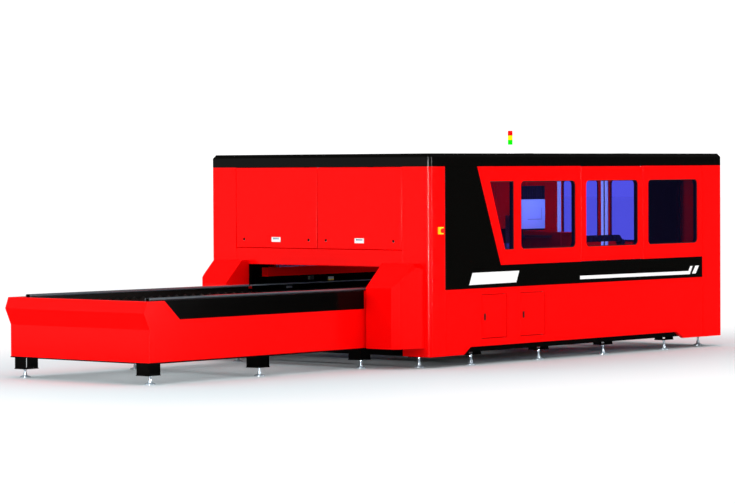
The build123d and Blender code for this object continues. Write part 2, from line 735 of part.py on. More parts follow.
def back_side():
    """The back wall's panels, plain but laid out as the operator side, and the extraction outlet."""
    whole = skirt_outline(CORNER_FRONT_LEG, END_SEAM)
    seam = OUTLET_STATION - OUTLET_PANEL_LEAD
    lower = mirror(pan(FRONT, whole & span(CORNER_FRONT_LEG, seam, 0, BAND_LOW)), Plane.XZ)
    outlet_panel = mirror(pan(FRONT, whole & span(seam, END_SEAM, 0, BAND_LOW)), Plane.XZ)
    seams = (-END_SEAM, -DOOR_SEAM - BAY_WIDTH, -DOOR_SEAM, -SLANT_FOOT, -CORNER_FRONT_LEG)
    uppers = [pan(BACK, span(a, b, BAND_LOW, EAVES_HEIGHT)) for a, b in zip(seams, seams[1:])]
    seat = BACK * Pos(-OUTLET_STATION, OUTLET_HEIGHT)
    outlet_panel -= seat * Cylinder(OUTLET_RADIUS - OUTLET_WALL, PAN_DEPTH)
    save("back_panels", lower, outlet_panel, *uppers)
    flange = extrude(seat * Circle(OUTLET_FLANGE_RADIUS), amount=OUTLET_FLANGE)
    spigot = flange + extrude(seat * Circle(OUTLET_RADIUS), amount=OUTLET_LENGTH)
    bore = extrude(seat * Circle(OUTLET_RADIUS - OUTLET_WALL), amount=OUTLET_LENGTH)
    save("extraction_outlet", spigot - bore)


def rear_end():
    """The rear wall: fixed panels round a pair of glazed doors."""
    side = CABIN_WIDTH / 2 - CORNER_REAR_LEG
    left = REAR_DOOR_CENTRE - REAR_DOOR_WIDTH - DOOR_GAP
    right = REAR_DOOR_CENTRE + REAR_DOOR_WIDTH + DOOR_GAP
    low = REAR_DOOR_LOW - DOOR_GAP
    high = EAVES_HEIGHT - DOOR_GAP
    save(
        "rear_panels",
        pan(REAR, span(-side, left, SKIRT_HEIGHT, EAVES_HEIGHT)),
        pan(REAR, span(right, side, SKIRT_HEIGHT, EAVES_HEIGHT)),
        pan(REAR, span(left, right, SKIRT_HEIGHT, low)),
    )
    pins = []
    for name, hand in (("near", -1), ("far", 1)):
        meeting = REAR_DOOR_CENTRE + hand * DOOR_GAP / 2
        hinge = REAR_DOOR_CENTRE + hand * REAR_DOOR_WIDTH
        hole = window((meeting + hinge) / 2, REAR_WINDOW_WIDTH)
        leaf = span(min(meeting, hinge), max(meeting, hinge), REAR_DOOR_LOW, high)
        door = pan(REAR, leaf, [(hole, WINDOW_REVEAL)])
        door, door_pins = pivot(door, upright_pivots(REAR, hinge - hand * PIVOT_INSET, low, EAVES_HEIGHT))
        pins += door_pins
        seal, pane = glazing(REAR, hole, WINDOW_REVEAL)
        save(f"rear_door_{name}", door, seal)
        save(f"rear_glass_{name}", pane)
    return pins


def signal_tower():
    """The pole on the roof and its three coloured lenses, the lowest first."""
    place = Pos(ENTRY_X + TOWER_STATION, FRONT_Y + TOWER_SETBACK, ROOF_HEIGHT + SHEET)
    pole_height = TOWER_POLE_HEIGHT - SHEET
    foot = Cylinder(TOWER_FOOT_RADIUS, TOWER_FOOT_HEIGHT, align=BOTTOM)
    save("tower_pole", place * (foot + Cylinder(TOWER_POLE_RADIUS, pole_height, align=BOTTOM)))
    lenses = []
    for tier in range(TOWER_TIER_COUNT):
        lens = Pos(0, 0, pole_height + tier * TOWER_TIER) * Cylinder(TOWER_RADIUS, TOWER_TIER, align=BOTTOM)
        if tier == TOWER_TIER_COUNT - 1:
            lens = chamfer(lens.edges().sort_by(Axis.Z)[-1], TOWER_TOP_ROUND)
        lenses.append(place * lens)
    save("tower_lenses", *lenses)


def exchange_table():
    """The table's side sheets, folded end bumper and inner frame."""
    half = TABLE_WIDTH / 2
    foot = -TABLE_REACH
    tail = -TABLE_TAIL_GAP
    bumper = [
        (foot, TABLE_LOW),
        (foot, BUMPER_FOLD_HEIGHT),
        (foot - BUMPER_REACH, BUMPER_TIP_HEIGHT),
        (foot - BUMPER_TOP_REACH, TABLE_TOP),
    ]
    side_plane = wall_plane(ENTRY_X, -half, (0, -1))
    side = pan(side_plane, Polygon((tail, TABLE_LOW), (tail, TABLE_TOP), *reversed(bumper)))
    save("table_sides", side, mirror(side, Plane.XZ))

    inner = foot + PAN_DEPTH
    outline = Polygon((inner, TABLE_LOW), (inner, TABLE_TOP), *reversed(bumper))
    width = half - PAN_DEPTH
    middle = Plane(origin=(ENTRY_X, 0, 0), x_dir=(1, 0, 0), z_dir=(0, -1, 0))
    panel = extrude(middle * outline, amount=width, both=True)
    room = offset(outline, -SHEET, kind=Kind.INTERSECTION)
    room += span(inner - PAN_DEPTH / 2, inner + OVERRUN, TABLE_LOW + SHEET, TABLE_TOP - SHEET)
    panel -= extrude(middle * room, amount=width + OVERRUN, both=True)
    save("table_end_panel", panel)

    lip_low = TABLE_LOW - TABLE_LIP
    web_outer = half - PAN_DEPTH
    x_end = ENTRY_X + tail
    x_foot = ENTRY_X + foot
    beam = block(x_foot + PAN_DEPTH, x_end, TRACK_FACE, web_outer, lip_low, TABLE_BEAM_TOP)
    beam += block(x_foot - TABLE_LIP_PROUD, x_end, TRACK_FACE, half + TABLE_LIP_PROUD, lip_low, TABLE_LOW)
    beams = [beam, mirror(beam, Plane.XZ)]
    for station in LEG_STATIONS:
        x = ENTRY_X + station
        x_low = max(x - CROSS_BEAM_WIDTH / 2, x_foot + PAN_DEPTH)
        beams.append(block(x_low, x_low + CROSS_BEAM_WIDTH, -TRACK_FACE, TRACK_FACE,
                           lip_low, lip_low + CROSS_BEAM_HEIGHT))
    beams.append(block(x_foot - TABLE_LIP_PROUD, x_foot + PAN_DEPTH, -TRACK_FACE, TRACK_FACE,
                       lip_low, TABLE_LOW))
    save("table_frame", *beams)


def exchange_drive():
    """The gear motor on the cross beam, the shaft's bearings, and the shaft with its sprockets."""
    x = ENTRY_X + LEG_STATIONS[-1]
    seat = TABLE_LOW - TABLE_LIP + CROSS_BEAM_HEIGHT
    half = GEARBOX_LENGTH / 2
    gearbox = block(x - half, x + half, -GEARBOX_WIDTH / 2, GEARBOX_WIDTH / 2, seat, GEARBOX_TOP)
    gearbox = chamfer(gearbox.edges().filter_by(Axis.Y).sort_by(Axis.Z)[-2:], GEARBOX_CHAMFER)
    gearbox += rod((x + half, 0, DRIVE_HEIGHT), (1, 0, 0), GEAR_MOTOR_LENGTH, GEAR_MOTOR_RADIUS)
    bearing = block(x - BEARING_SIDE / 2, x + BEARING_SIDE / 2, TRACK_FACE - BEARING_WIDTH, TRACK_FACE,
                    DRIVE_HEIGHT - BEARING_SIDE / 2, DRIVE_HEIGHT + BEARING_SIDE / 2)
    bore = rod((x, -TRACK_FACE, DRIVE_HEIGHT), (0, 1, 0), 2 * TRACK_FACE,
               DRIVE_SHAFT_RADIUS + DRIVE_SHAFT_CLEARANCE)
    save("exchange_drive", *[piece - bore for piece in (gearbox, bearing, mirror(bearing, Plane.XZ))])

    reach = TRACK_FACE - DRIVE_SHAFT_END_GAP
    shaft = rod((x, -reach, DRIVE_HEIGHT), (0, 1, 0), 2 * reach, DRIVE_SHAFT_RADIUS)
    points = []
    for index in range(2 * SPROCKET_TEETH):
        radius = SPROCKET_ROOT_RADIUS if index % 2 else SPROCKET_RADIUS
        angle = pi * index / SPROCKET_TEETH
        points.append((radius * cos(angle), radius * sin(angle)))
    for hand in (-1, 1):
        hub = Plane(origin=(x, hand * (TRACK_FACE - SPROCKET_INSET), DRIVE_HEIGHT), z_dir=(0, hand, 0))
        shaft += extrude(hub * Polygon(*points), amount=SPROCKET_THICKNESS / 2, both=True)
    save("exchange_shaft", shaft)


def pallet_tracks():
    """Ledges for the pallets' rollers on two levels, in the table and on through the bed."""
    roller_low = PALLET_TOP - ROLLER_DROP - ROLLER_RADIUS
    runs = (
        (ENTRY_X - TABLE_REACH + PAN_DEPTH, ENTRY_X + BED_START),
        (ENTRY_X + BED_START, ENTRY_X + BED_TRACK_END),
    )
    tracks = []
    for x_low, x_high in runs:
        for drop in (0, LEVEL_DROP):
            top = roller_low - TRACK_CLEARANCE - drop
            track = block(x_low, x_high, TRACK_FACE - TRACK_LEDGE, TRACK_FACE, top - TRACK_THICKNESS, top)
            track += block(x_low, x_high, TRACK_FACE - TRACK_THICKNESS, TRACK_FACE, top - TRACK_HEIGHT, top)
            tracks += [track, mirror(track, Plane.XZ)]
    save("pallet_tracks", *tracks)


def pallet(name, x_start, drop):
    """One pallet: side tubes with rollers, lower end tubes and toothed slats between."""
    half = PALLET_WIDTH / 2
    inner = half - PALLET_TUBE_WIDTH
    top = PALLET_TOP - drop
    low = top - PALLET_TUBE_HEIGHT
    x_end = x_start + PALLET_LENGTH
    end_top = top - PALLET_END_DROP
    end_low = end_top - PALLET_TUBE_HEIGHT
    frame = []
    for hand in (-1, 1):
        y_low, y_high = sorted((hand * inner, hand * half))
        side = block(x_start, x_end, y_low, y_high, end_low, top)
        pitch = (PALLET_LENGTH - 2 * ROLLER_MARGIN) / (ROLLER_COUNT - 1)
        for index in range(ROLLER_COUNT):
            x = x_start + ROLLER_MARGIN + index * pitch
            hub = (x, hand * half, top - ROLLER_DROP)
            side += rod(hub, (0, hand, 0), AXLE_LENGTH + ROLLER_WIDTH, AXLE_RADIUS)
            rim = (x, hand * (half + AXLE_LENGTH), top - ROLLER_DROP)
            side += rod(rim, (0, hand, 0), ROLLER_WIDTH, ROLLER_RADIUS)
        frame.append(side)
    for x in (x_start, x_end - PALLET_TUBE_WIDTH):
        frame.append(block(x, x + PALLET_TUBE_WIDTH, -inner, inner, end_low, end_top))
    save(f"{name}_frame", *frame)

    tip = SLAT_TIP - drop
    tooth = 2 * inner / SLAT_TEETH
    points = [(-inner, tip - SLAT_HEIGHT), (inner, tip - SLAT_HEIGHT)]
    for index in range(SLAT_TEETH):
        y = inner - index * tooth
        points += [(y, tip - SLAT_TOOTH_DEPTH), (y - tooth / 2, tip)]
    points.append((-inner, tip - SLAT_TOOTH_DEPTH))
    outline = Plane.YZ * Polygon(*points)
    first = x_start + PALLET_TUBE_WIDTH
    pitch = (PALLET_LENGTH - 2 * PALLET_TUBE_WIDTH) / (SLAT_COUNT + 1)
    slat = extrude(outline, amount=SLAT_THICKNESS / 2, both=True)
    slats = [Pos(first + (index + 1) * pitch, 0, 0) * slat for index in range(SLAT_COUNT)]
    save(f"{name}_slats", *slats)


def base_frame():
    """The black rails, cross beams and sills under the cabin, the bed's walls and the cabin's posts."""
    rail_outer = CABIN_WIDTH / 2 - PAN_DEPTH
    rail_inner = rail_outer - RAIL_WIDTH
    rail = block(ENTRY_X + RAIL_MARGIN, REAR_X - RAIL_MARGIN, -rail_outer, -rail_inner, RAIL_LOW, RAIL_HIGH)
    members = [rail, mirror(rail, Plane.XZ)]
    for station in FOOT_STATIONS:
        x = ENTRY_X + station
        members.append(block(x - CROSS_BEAM_WIDTH / 2, x + CROSS_BEAM_WIDTH / 2, -rail_inner, rail_inner,
                             RAIL_LOW, RAIL_HIGH))
    x_low = ENTRY_X + BEAM_START
    x_high = REAR_X - BED_END_MARGIN
    wall = block(x_low, x_high, TRACK_FACE, TRACK_FACE + BEAM_WIDTH, RAIL_HIGH, BEAM_LOW)
    wall -= block(x_low - OVERRUN, x_high + OVERRUN,
                  TRACK_FACE + BEAM_WALL, TRACK_FACE + BEAM_WIDTH - BEAM_WALL,
                  RAIL_HIGH + BEAM_WALL, BEAM_LOW - BEAM_WALL)
    members += [wall, mirror(wall, Plane.XZ)]
    for station in POST_STATIONS:
        x = ENTRY_X + station
        y = FRONT_Y + POST_SETBACK
        post = block(x, x + POST_SIDE, y, y + POST_SIDE, RAIL_HIGH, EAVES_HEIGHT)
        members += [post, mirror(post, Plane.XZ)]
    for x in (ENTRY_X + RAIL_MARGIN - SILL_WIDTH, REAR_X - RAIL_MARGIN):
        members.append(block(x, x + SILL_WIDTH, -rail_outer, rail_outer, SILL_LOW, SILL_HIGH))
    save("base_frame", *members)


def bed():
    """The bed beams, their guide rails and racks."""
    x_nose = ENTRY_X + BEAM_START
    x_low = ENTRY_X + GUIDE_START
    x_high = REAR_X - BED_END_MARGIN
    nose_outer = TRACK_FACE + BEAM_NOSE_WIDTH
    beam = block(x_nose, x_high, TRACK_FACE, nose_outer, BEAM_LOW, BEAM_HIGH)
    beam += block(x_low, x_high, nose_outer, TRACK_FACE + BEAM_WIDTH, BEAM_LOW, BEAM_HIGH)
    low = BEAM_LOW + BEAM_WALL
    high = BEAM_HIGH - BEAM_WALL
    beam -= block(x_nose - OVERRUN, x_high + OVERRUN,
                  TRACK_FACE + BEAM_WALL, nose_outer - BEAM_WALL, low, high)
    beam -= block(x_low - OVERRUN, x_high + OVERRUN,
                  nose_outer, TRACK_FACE + BEAM_WIDTH - BEAM_WALL, low, high)
    save("bed_beams", beam, mirror(beam, Plane.XZ))
    guide = block(x_low, x_high, BEAM_MIDDLE - GUIDE_WIDTH / 2, BEAM_MIDDLE + GUIDE_WIDTH / 2,
                  BEAM_HIGH, BEAM_HIGH + GUIDE_HEIGHT)
    rack_inner = BEAM_MIDDLE - RACK_GAP - RACK_WIDTH
    rack = block(x_low, x_high, rack_inner, rack_inner + RACK_WIDTH, BEAM_HIGH, BEAM_HIGH + RACK_HEIGHT)
    save("bed_guides", guide, rack, mirror(guide, Plane.XZ), mirror(rack, Plane.XZ))


def foot_places():
    """Plan places of the levelling feet, each with the height of the plate that it carries."""
    row = CABIN_WIDTH / 2 - FOOT_SETBACK
    corner = CABIN_WIDTH / 2 - CORNER_FOOT_SETBACK
    leg = TABLE_WIDTH / 2 - PAN_DEPTH - LEG_FOOT_SETBACK
    places = []
    for hand in (-1, 1):
        places += [(ENTRY_X + station, hand * row, BRACKET_LOW) for station in FOOT_STATIONS]
        places.append((ENTRY_X + CORNER_FOOT_STATION, hand * corner, BRACKET_LOW))
        places.append((REAR_X - CORNER_FOOT_STATION, hand * corner, BRACKET_LOW))
        places += [(ENTRY_X + station, hand * leg, LEG_LOW) for station in LEG_STATIONS]
    return places


def feet():
    """Foot brackets, bell bases and studs with their lock nuts."""
    brackets = []
    bases = []
    studs = []
    bell = Polygon(
        (0, 0),
        (FOOT_RADIUS, 0),
        (FOOT_RADIUS, FOOT_RIM),
        (FOOT_WAIST_RADIUS, FOOT_WAIST_HEIGHT),
        (FOOT_NECK_RADIUS, FOOT_BELL_HEIGHT),
        (0, FOOT_BELL_HEIGHT),
    )
    base = revolve(Plane.XZ * bell, Axis.Z)
    for x, y, plate_low in foot_places():
        inward = 0
        if plate_low == LEG_LOW:
            width, depth, wall, top = LEG_WIDTH, LEG_DEPTH, LEG_WALL, TABLE_LOW - TABLE_LIP
            inward = -copysign(LEG_DEPTH / 2 - LEG_FOOT_SETBACK, y)
        else:
            width, depth, wall, top = BRACKET_WIDTH, BRACKET_DEPTH, BRACKET_WALL, RAIL_LOW
        if abs(y) < CABIN_WIDTH / 2 - FOOT_SETBACK and plate_low == BRACKET_LOW:
            top = SILL_LOW
        place = Pos(x, y + inward, plate_low)
        plate = Box(width + 2 * LEG_PLATE_MARGIN, depth, wall, align=BOTTOM)
        bracket = place * plate
        if top - plate_low > wall:
            channel = Box(width, depth, top - plate_low, align=BOTTOM)
            channel -= Pos(0, 0, wall) * Box(width - 2 * wall, depth + OVERRUN, top, align=BOTTOM)
            bracket += place * channel
        bracket -= Pos(x, y, plate_low) * Cylinder(STUD_RADIUS + PIN_CLEARANCE, 2 * wall + OVERRUN)
        brackets.append(bracket)
        bases.append(Pos(x, y, 0) * base)
        stud = Pos(x, y, FOOT_BELL_HEIGHT) * Cylinder(STUD_RADIUS, plate_low - FOOT_BELL_HEIGHT, align=BOTTOM)
        nut = extrude(Pos(x, y, plate_low - NUT_HEIGHT) * RegularPolygon(NUT_RADIUS, 6), amount=NUT_HEIGHT)
        studs.append(stud + nut)
    save("foot_brackets", *brackets)
    save("foot_bases", *bases)
    save("foot_studs", *studs)


def chain_middle():
    """The Y place of the cable chain's middle, outside the near bed beam."""
    return -TRACK_FACE - BEAM_WIDTH - TRAY_GAP - TRAY_WALL - CHAIN_WIDTH / 2


def chain_floor():
    """The height of the tray under the chain."""
    return BEAM_HIGH + TRAY_WALL


def chain_low():
    """The underside of the chain's lower run: links in the bend just touch the tray."""
    outer = CHAIN_BEND_RADIUS + CHAIN_THICKNESS / 2
    half_flat = CHAIN_LINK_SHARE * CHAIN_PITCH / 2 - CHAIN_LINK_CHAMFER
    return chain_floor() + hypot(outer, half_flat) - outer


def gantry():
    """The gantry: beam, trucks that ride the bed guides, drive motors and cross rails."""
    half = GANTRY_WIDTH / 2
    beam = block(GANTRY_X - half, GANTRY_X + half, -GANTRY_OVERHANG, GANTRY_OVERHANG, GANTRY_LOW, GANTRY_HIGH)
    beam -= block(GANTRY_X - half + GANTRY_WALL, GANTRY_X + half - GANTRY_WALL,
                  -GANTRY_OVERHANG - OVERRUN, GANTRY_OVERHANG + OVERRUN,
                  GANTRY_LOW + GANTRY_WALL, GANTRY_HIGH - GANTRY_WALL)
    chain_outer = chain_middle() - CHAIN_WIDTH / 2
    arm_z = chain_low() + CHAIN_THICKNESS / 2 + 2 * CHAIN_BEND_RADIUS
    beam += block(GANTRY_X + half - CHAIN_ARM, ENTRY_X + CHAIN_HIGH_START, chain_outer, -GANTRY_OVERHANG,
                  arm_z - CHAIN_ARM / 2, arm_z + CHAIN_ARM / 2)
    save("gantry_beam", beam)

    plate_low = GANTRY_LOW - TRUCK_THICKNESS
    guide_top = BEAM_HIGH + GUIDE_HEIGHT
    truck = block(GANTRY_X - TRUCK_LENGTH / 2, GANTRY_X + TRUCK_LENGTH / 2, BEAM_MIDDLE - TRUCK_WIDTH / 2,
                  BEAM_MIDDLE + TRUCK_WIDTH / 2, plate_low, GANTRY_LOW)
    slot = GUIDE_WIDTH / 2 + GUIDE_CLEARANCE
    for offset_x in (-BLOCK_SPACING / 2, BLOCK_SPACING / 2):
        x = GANTRY_X + offset_x
        saddle = block(x - BLOCK_LENGTH / 2, x + BLOCK_LENGTH / 2, BEAM_MIDDLE - BLOCK_WIDTH / 2,
                       BEAM_MIDDLE + BLOCK_WIDTH / 2, guide_top - GUIDE_GRIP, plate_low)
        saddle -= block(x - BLOCK_LENGTH, x + BLOCK_LENGTH, BEAM_MIDDLE - slot, BEAM_MIDDLE + slot,
                        BEAM_HIGH, guide_top + GUIDE_CLEARANCE)
        truck += saddle
    save("gantry_trucks", truck, mirror(truck, Plane.XZ))

    motor = Pos(GANTRY_X + DRIVE_MOTOR_OFFSET, BEAM_MIDDLE, GANTRY_LOW)
    motor *= Box(DRIVE_MOTOR_SIDE, DRIVE_MOTOR_SIDE, DRIVE_MOTOR_HEIGHT, align=BOTTOM)
    motor = fillet(motor.edges().filter_by(Axis.Z), COVER_RADIUS)
    save("gantry_motors", motor, mirror(motor, Plane.XZ))

    face = GANTRY_X - half
    rails = []
    for z in (GANTRY_LOW + CROSS_RAIL_INSET, GANTRY_HIGH - CROSS_RAIL_INSET):
        rails.append(block(face - CROSS_RAIL_DEPTH, face, -CROSS_RAIL_LENGTH / 2, CROSS_RAIL_LENGTH / 2,
                           z - CROSS_RAIL_WIDTH / 2, z + CROSS_RAIL_WIDTH / 2))
    save("cross_rails", *rails)


def head_carriage():
    """The carriage on the cross rails, its white cover and the lift motor on top."""
    face = GANTRY_X - GANTRY_WIDTH / 2
    rail_face = face - CROSS_RAIL_DEPTH
    y_low = HEAD_OFFSET - CARRIAGE_WIDTH / 2
    y_high = HEAD_OFFSET + CARRIAGE_WIDTH / 2
    shelf_low = GANTRY_HIGH + CARRIAGE_CLEARANCE
    shelf_high = shelf_low + CARRIAGE_THICKNESS
    plate_high = rail_face - GUIDE_CLEARANCE
    plate_low = plate_high - CARRIAGE_THICKNESS
    plate = block(plate_low, plate_high, y_low, y_high, CARRIAGE_LOW, shelf_high)
    plate += block(plate_low, plate_low + SHELF_LENGTH, y_low, y_high, shelf_low, shelf_high)
    save("carriage_plate", plate)

    x_low = plate_low
    cover = block(x_low, x_low + COVER_LENGTH, y_low, y_low + COVER_WIDTH,
                  shelf_high, shelf_high + COVER_HEIGHT)
    cover = fillet(cover.edges().filter_by(Axis.Z) + cover.edges().group_by(Axis.Z)[-1], COVER_RADIUS)
    left, right, low, high = COVER_GROOVE_SHARES
    wall = wall_plane(x_low, y_low, (0, -1))
    groove = span(left * COVER_LENGTH, right * COVER_LENGTH, shelf_high + low * COVER_HEIGHT,
                  shelf_high + low * COVER_HEIGHT + COVER_GROOVE)
    groove += span(right * COVER_LENGTH - COVER_GROOVE, right * COVER_LENGTH, shelf_high + low * COVER_HEIGHT,
                   shelf_high + high * COVER_HEIGHT)
    cover -= extrude(wall * groove, amount=-COVER_GROOVE_DEPTH)
    save("head_cover", cover)

    motor_low = shelf_high + COVER_HEIGHT
    front = y_low + LIFT_MOTOR_MARGIN
    back = y_low + COVER_WIDTH - LIFT_MOTOR_MARGIN
    length = COVER_LENGTH - 2 * LIFT_MOTOR_MARGIN
    motor_x = x_low + LIFT_MOTOR_MARGIN
    motor = block(motor_x, motor_x + length, front, back, motor_low, motor_low + LIFT_MOTOR_HEIGHT)
    pitch = length / (LIFT_MOTOR_FINS + 1)
    for index in range(LIFT_MOTOR_FINS):
        for edge in (front, back):
            slot = Box(LIFT_MOTOR_FIN_DEPTH, 2 * LIFT_MOTOR_FIN_DEPTH, LIFT_MOTOR_HEIGHT, align=BOTTOM)
            motor -= Pos(motor_x + (index + 1) * pitch, edge, motor_low + LIFT_MOTOR_FIN_DEPTH) * slot
    save("lift_motor", motor)


def cutting_head():
    """The vertical slide with the cutting head and its nozzle."""
    back = GANTRY_X - GANTRY_WIDTH / 2 - CROSS_RAIL_DEPTH - CARRIAGE_THICKNESS - GUIDE_CLEARANCE
    slide_high = back - SLIDE_CLEARANCE
    x = slide_high - SLIDE_THICKNESS - HEAD_STANDOFF - HEAD_RADIUS
    waist_low = NOZZLE_REST + NOZZLE_HEIGHT
    body_low = waist_low + HEAD_WAIST_HEIGHT
    slide = block(slide_high - SLIDE_THICKNESS, slide_high, HEAD_OFFSET - SLIDE_WIDTH / 2,
                  HEAD_OFFSET + SLIDE_WIDTH / 2, body_low, body_low + SLIDE_HEIGHT)
    profile = Polygon(
        (0, waist_low),
        (NOZZLE_RADIUS, waist_low),
        (HEAD_WAIST_RADIUS, body_low),
        (HEAD_RADIUS, body_low),
        (HEAD_RADIUS, body_low + HEAD_HEIGHT),
        (0, body_low + HEAD_HEIGHT),
    )
    body = Pos(x, HEAD_OFFSET, 0) * revolve(Plane.XZ * profile, Axis.Z)
    mount = block(x, slide_high - SLIDE_THICKNESS, HEAD_OFFSET - HEAD_WAIST_RADIUS,
                  HEAD_OFFSET + HEAD_WAIST_RADIUS, body_low, body_low + HEAD_HEIGHT)
    save("cutting_head", slide + body + mount)
    tip = Polygon(
        (NOZZLE_BORE_RADIUS, NOZZLE_REST),
        (NOZZLE_TIP_RADIUS, NOZZLE_REST),
        (NOZZLE_RADIUS, waist_low),
        (NOZZLE_BORE_RADIUS, waist_low),
    )
    save("nozzle", Pos(x, HEAD_OFFSET, 0) * revolve(Plane.XZ * tip, Axis.Z))


def cable_chain():
    """The cable chain, links set along two straight runs and a half turn, on its tray."""
    y_middle = chain_middle()
    y_high = y_middle + CHAIN_WIDTH / 2
    bend_x = ENTRY_X + CHAIN_BEND_STATION
    floor = chain_floor()
    centre_z = chain_low() + CHAIN_THICKNESS / 2 + CHAIN_BEND_RADIUS
    low_run = CHAIN_BEND_STATION - CHAIN_LOW_START
    high_run = CHAIN_BEND_STATION - CHAIN_HIGH_START
    turn = pi * CHAIN_BEND_RADIUS

    def place(s):
        """Where the chain's middle line is after a length, and its turn in degrees."""
        if s < low_run:
            return bend_x - low_run + s, centre_z - CHAIN_BEND_RADIUS, 0
        if s > low_run + turn:
            return bend_x - (s - low_run - turn), centre_z + CHAIN_BEND_RADIUS, 180
        angle = (s - low_run) / CHAIN_BEND_RADIUS
        x = bend_x + CHAIN_BEND_RADIUS * sin(angle)
        return x, centre_z - CHAIN_BEND_RADIUS * cos(angle), degrees(angle)

    band = CHAIN_CORE_SHARE * CHAIN_THICKNESS / 2
    ring = Circle(CHAIN_BEND_RADIUS + band) - Circle(CHAIN_BEND_RADIUS - band)
    ring &= span(0, 2 * CHAIN_BEND_RADIUS, -2 * CHAIN_BEND_RADIUS, 2 * CHAIN_BEND_RADIUS)
    core = ring + span(-low_run, 0, -CHAIN_BEND_RADIUS - band, -CHAIN_BEND_RADIUS + band)
    core += span(-high_run, 0, CHAIN_BEND_RADIUS - band, CHAIN_BEND_RADIUS + band)
    plane = Plane(origin=(bend_x, y_middle, centre_z), x_dir=(1, 0, 0), z_dir=(0, -1, 0))
    chain = extrude(plane * core, amount=CHAIN_CORE_SHARE * CHAIN_WIDTH / 2, both=True)
    link = Box(CHAIN_LINK_SHARE * CHAIN_PITCH, CHAIN_WIDTH, CHAIN_THICKNESS)
    link = chamfer(link.edges().filter_by(Axis.Y), CHAIN_LINK_CHAMFER)
    count = int((low_run + turn + high_run) / CHAIN_PITCH)
    for index in range(count):
        x, z, angle = place((index + 1 / 2) * CHAIN_PITCH)
        chain += Pos(x, y_middle, z) * Rot(0, -angle, 0) * link
    save("cable_chain", chain)

    outer = y_high - CHAIN_WIDTH - TRAY_GAP
    inner = y_high + TRAY_GAP
    x_low = ENTRY_X + TRAY_START
    x_high = ENTRY_X + TRAY_END
    tray = block(x_low, x_high, outer - TRAY_WALL, inner + TRAY_WALL, BEAM_HIGH, floor)
    tray += block(x_low, x_high, outer - TRAY_WALL, outer, BEAM_HIGH, floor + TRAY_LIP)
    tray += block(x_low, x_high, inner, inner + TRAY_WALL, BEAM_HIGH - TRAY_LIP, BEAM_HIGH)
    save("chain_tray", tray)


def main():
    """Build every node."""
    os.makedirs("parts", exist_ok=True)
    save("corner_panels", *corner_panels())
    save("roof_cap", *roof_cap())
    save("roof_sheets", *roof_sheets())
    near_hood = hood()
    save("entry_hoods", near_hood, mirror(near_hood, Plane.XZ))
    pins = operator_side() + service_doors() + entry_end() + rear_end()
    save("door_pivots", *pins)
    emergency_stop()
    back_side()
    signal_tower()
    exchange_table()
    exchange_drive()
    pallet_tracks()
    pallet("upper_pallet", ENTRY_X - PALLET_OUT_REACH, 0)
    pallet("lower_pallet", ENTRY_X - PALLET_OUT_REACH + PALLET_TRAVEL, LEVEL_DROP)
    base_frame()
    bed()
    feet()
    gantry()
    head_carriage()
    cutting_head()
    cable_chain()


main()
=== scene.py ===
import json
import logging
import math
from dataclasses import dataclass, field
from enum import Enum
from typing import ClassVar, Sequence

import bpy
import numpy as np
from mathutils import Matrix, Vector


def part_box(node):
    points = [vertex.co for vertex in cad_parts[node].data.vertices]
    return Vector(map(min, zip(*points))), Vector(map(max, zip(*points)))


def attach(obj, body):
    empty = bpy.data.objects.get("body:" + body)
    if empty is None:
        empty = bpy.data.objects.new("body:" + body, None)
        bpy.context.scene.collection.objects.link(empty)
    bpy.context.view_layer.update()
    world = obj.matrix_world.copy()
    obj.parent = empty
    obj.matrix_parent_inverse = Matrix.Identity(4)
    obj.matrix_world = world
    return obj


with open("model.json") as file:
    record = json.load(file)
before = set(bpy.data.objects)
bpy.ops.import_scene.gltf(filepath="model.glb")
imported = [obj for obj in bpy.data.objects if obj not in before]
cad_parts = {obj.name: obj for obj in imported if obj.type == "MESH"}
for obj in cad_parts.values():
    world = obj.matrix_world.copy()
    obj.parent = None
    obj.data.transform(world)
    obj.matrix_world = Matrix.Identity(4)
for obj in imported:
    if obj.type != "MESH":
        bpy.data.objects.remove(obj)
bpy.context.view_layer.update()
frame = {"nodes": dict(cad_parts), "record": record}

LOG = logging.getLogger("laser_cutter")
PHOTO_WIDTH = 735
SENSOR = 36.0
TAU = 2 * math.pi
SHARP_ANGLE = math.radians(35)
FILM_EDGE = 0.0002
PRESSED_EDGE = 0.003
FOLDED_EDGE = 0.004

Colour = tuple[float, float, float]
Point = tuple[float, float, float]
Faces = list[list[int]]
Shape = tuple[np.ndarray, Faces]
Corners = tuple[tuple[float, float], ...]
Outline = np.ndarray | Sequence[tuple[float, float]]


class Slot(str, Enum):
    """The record's material slots."""

    RED = "red_paint"
    BLACK = "black_paint"
    PALLET = "pallet_paint"
    RAW_STEEL = "raw_steel"
    GROUND_STEEL = "ground_steel"
    ZINC = "zinc"
    ALUMINIUM = "aluminium"
    COPPER = "copper"
    GLASS = "tinted_glass"
    RUBBER = "seal_rubber"
    WHITE = "white_cover"
    MOTOR = "motor_black"
    CHAIN = "chain_plastic"
    LATCH = "latch_plastic"
    YELLOW = "yellow_plastic"
    RED_PLASTIC = "red_plastic"
    LENS = "lens_plastic"


class Body(str, Enum):
    """The bodies that new pieces ride on."""

    MACHINE = "machine"
    UPPER_PALLET = "upper_pallet"
    LOWER_PALLET = "lower_pallet"
    CARRIAGE = "carriage"
    FLAP_NEAR = "entry_flap_near"
    FLAP_FAR = "entry_flap_far"
    FRONT_DOOR = "front_door"
    REAR_NEAR = "rear_door_near"
    REAR_FAR = "rear_door_far"


# Shader node groups that several finishes share


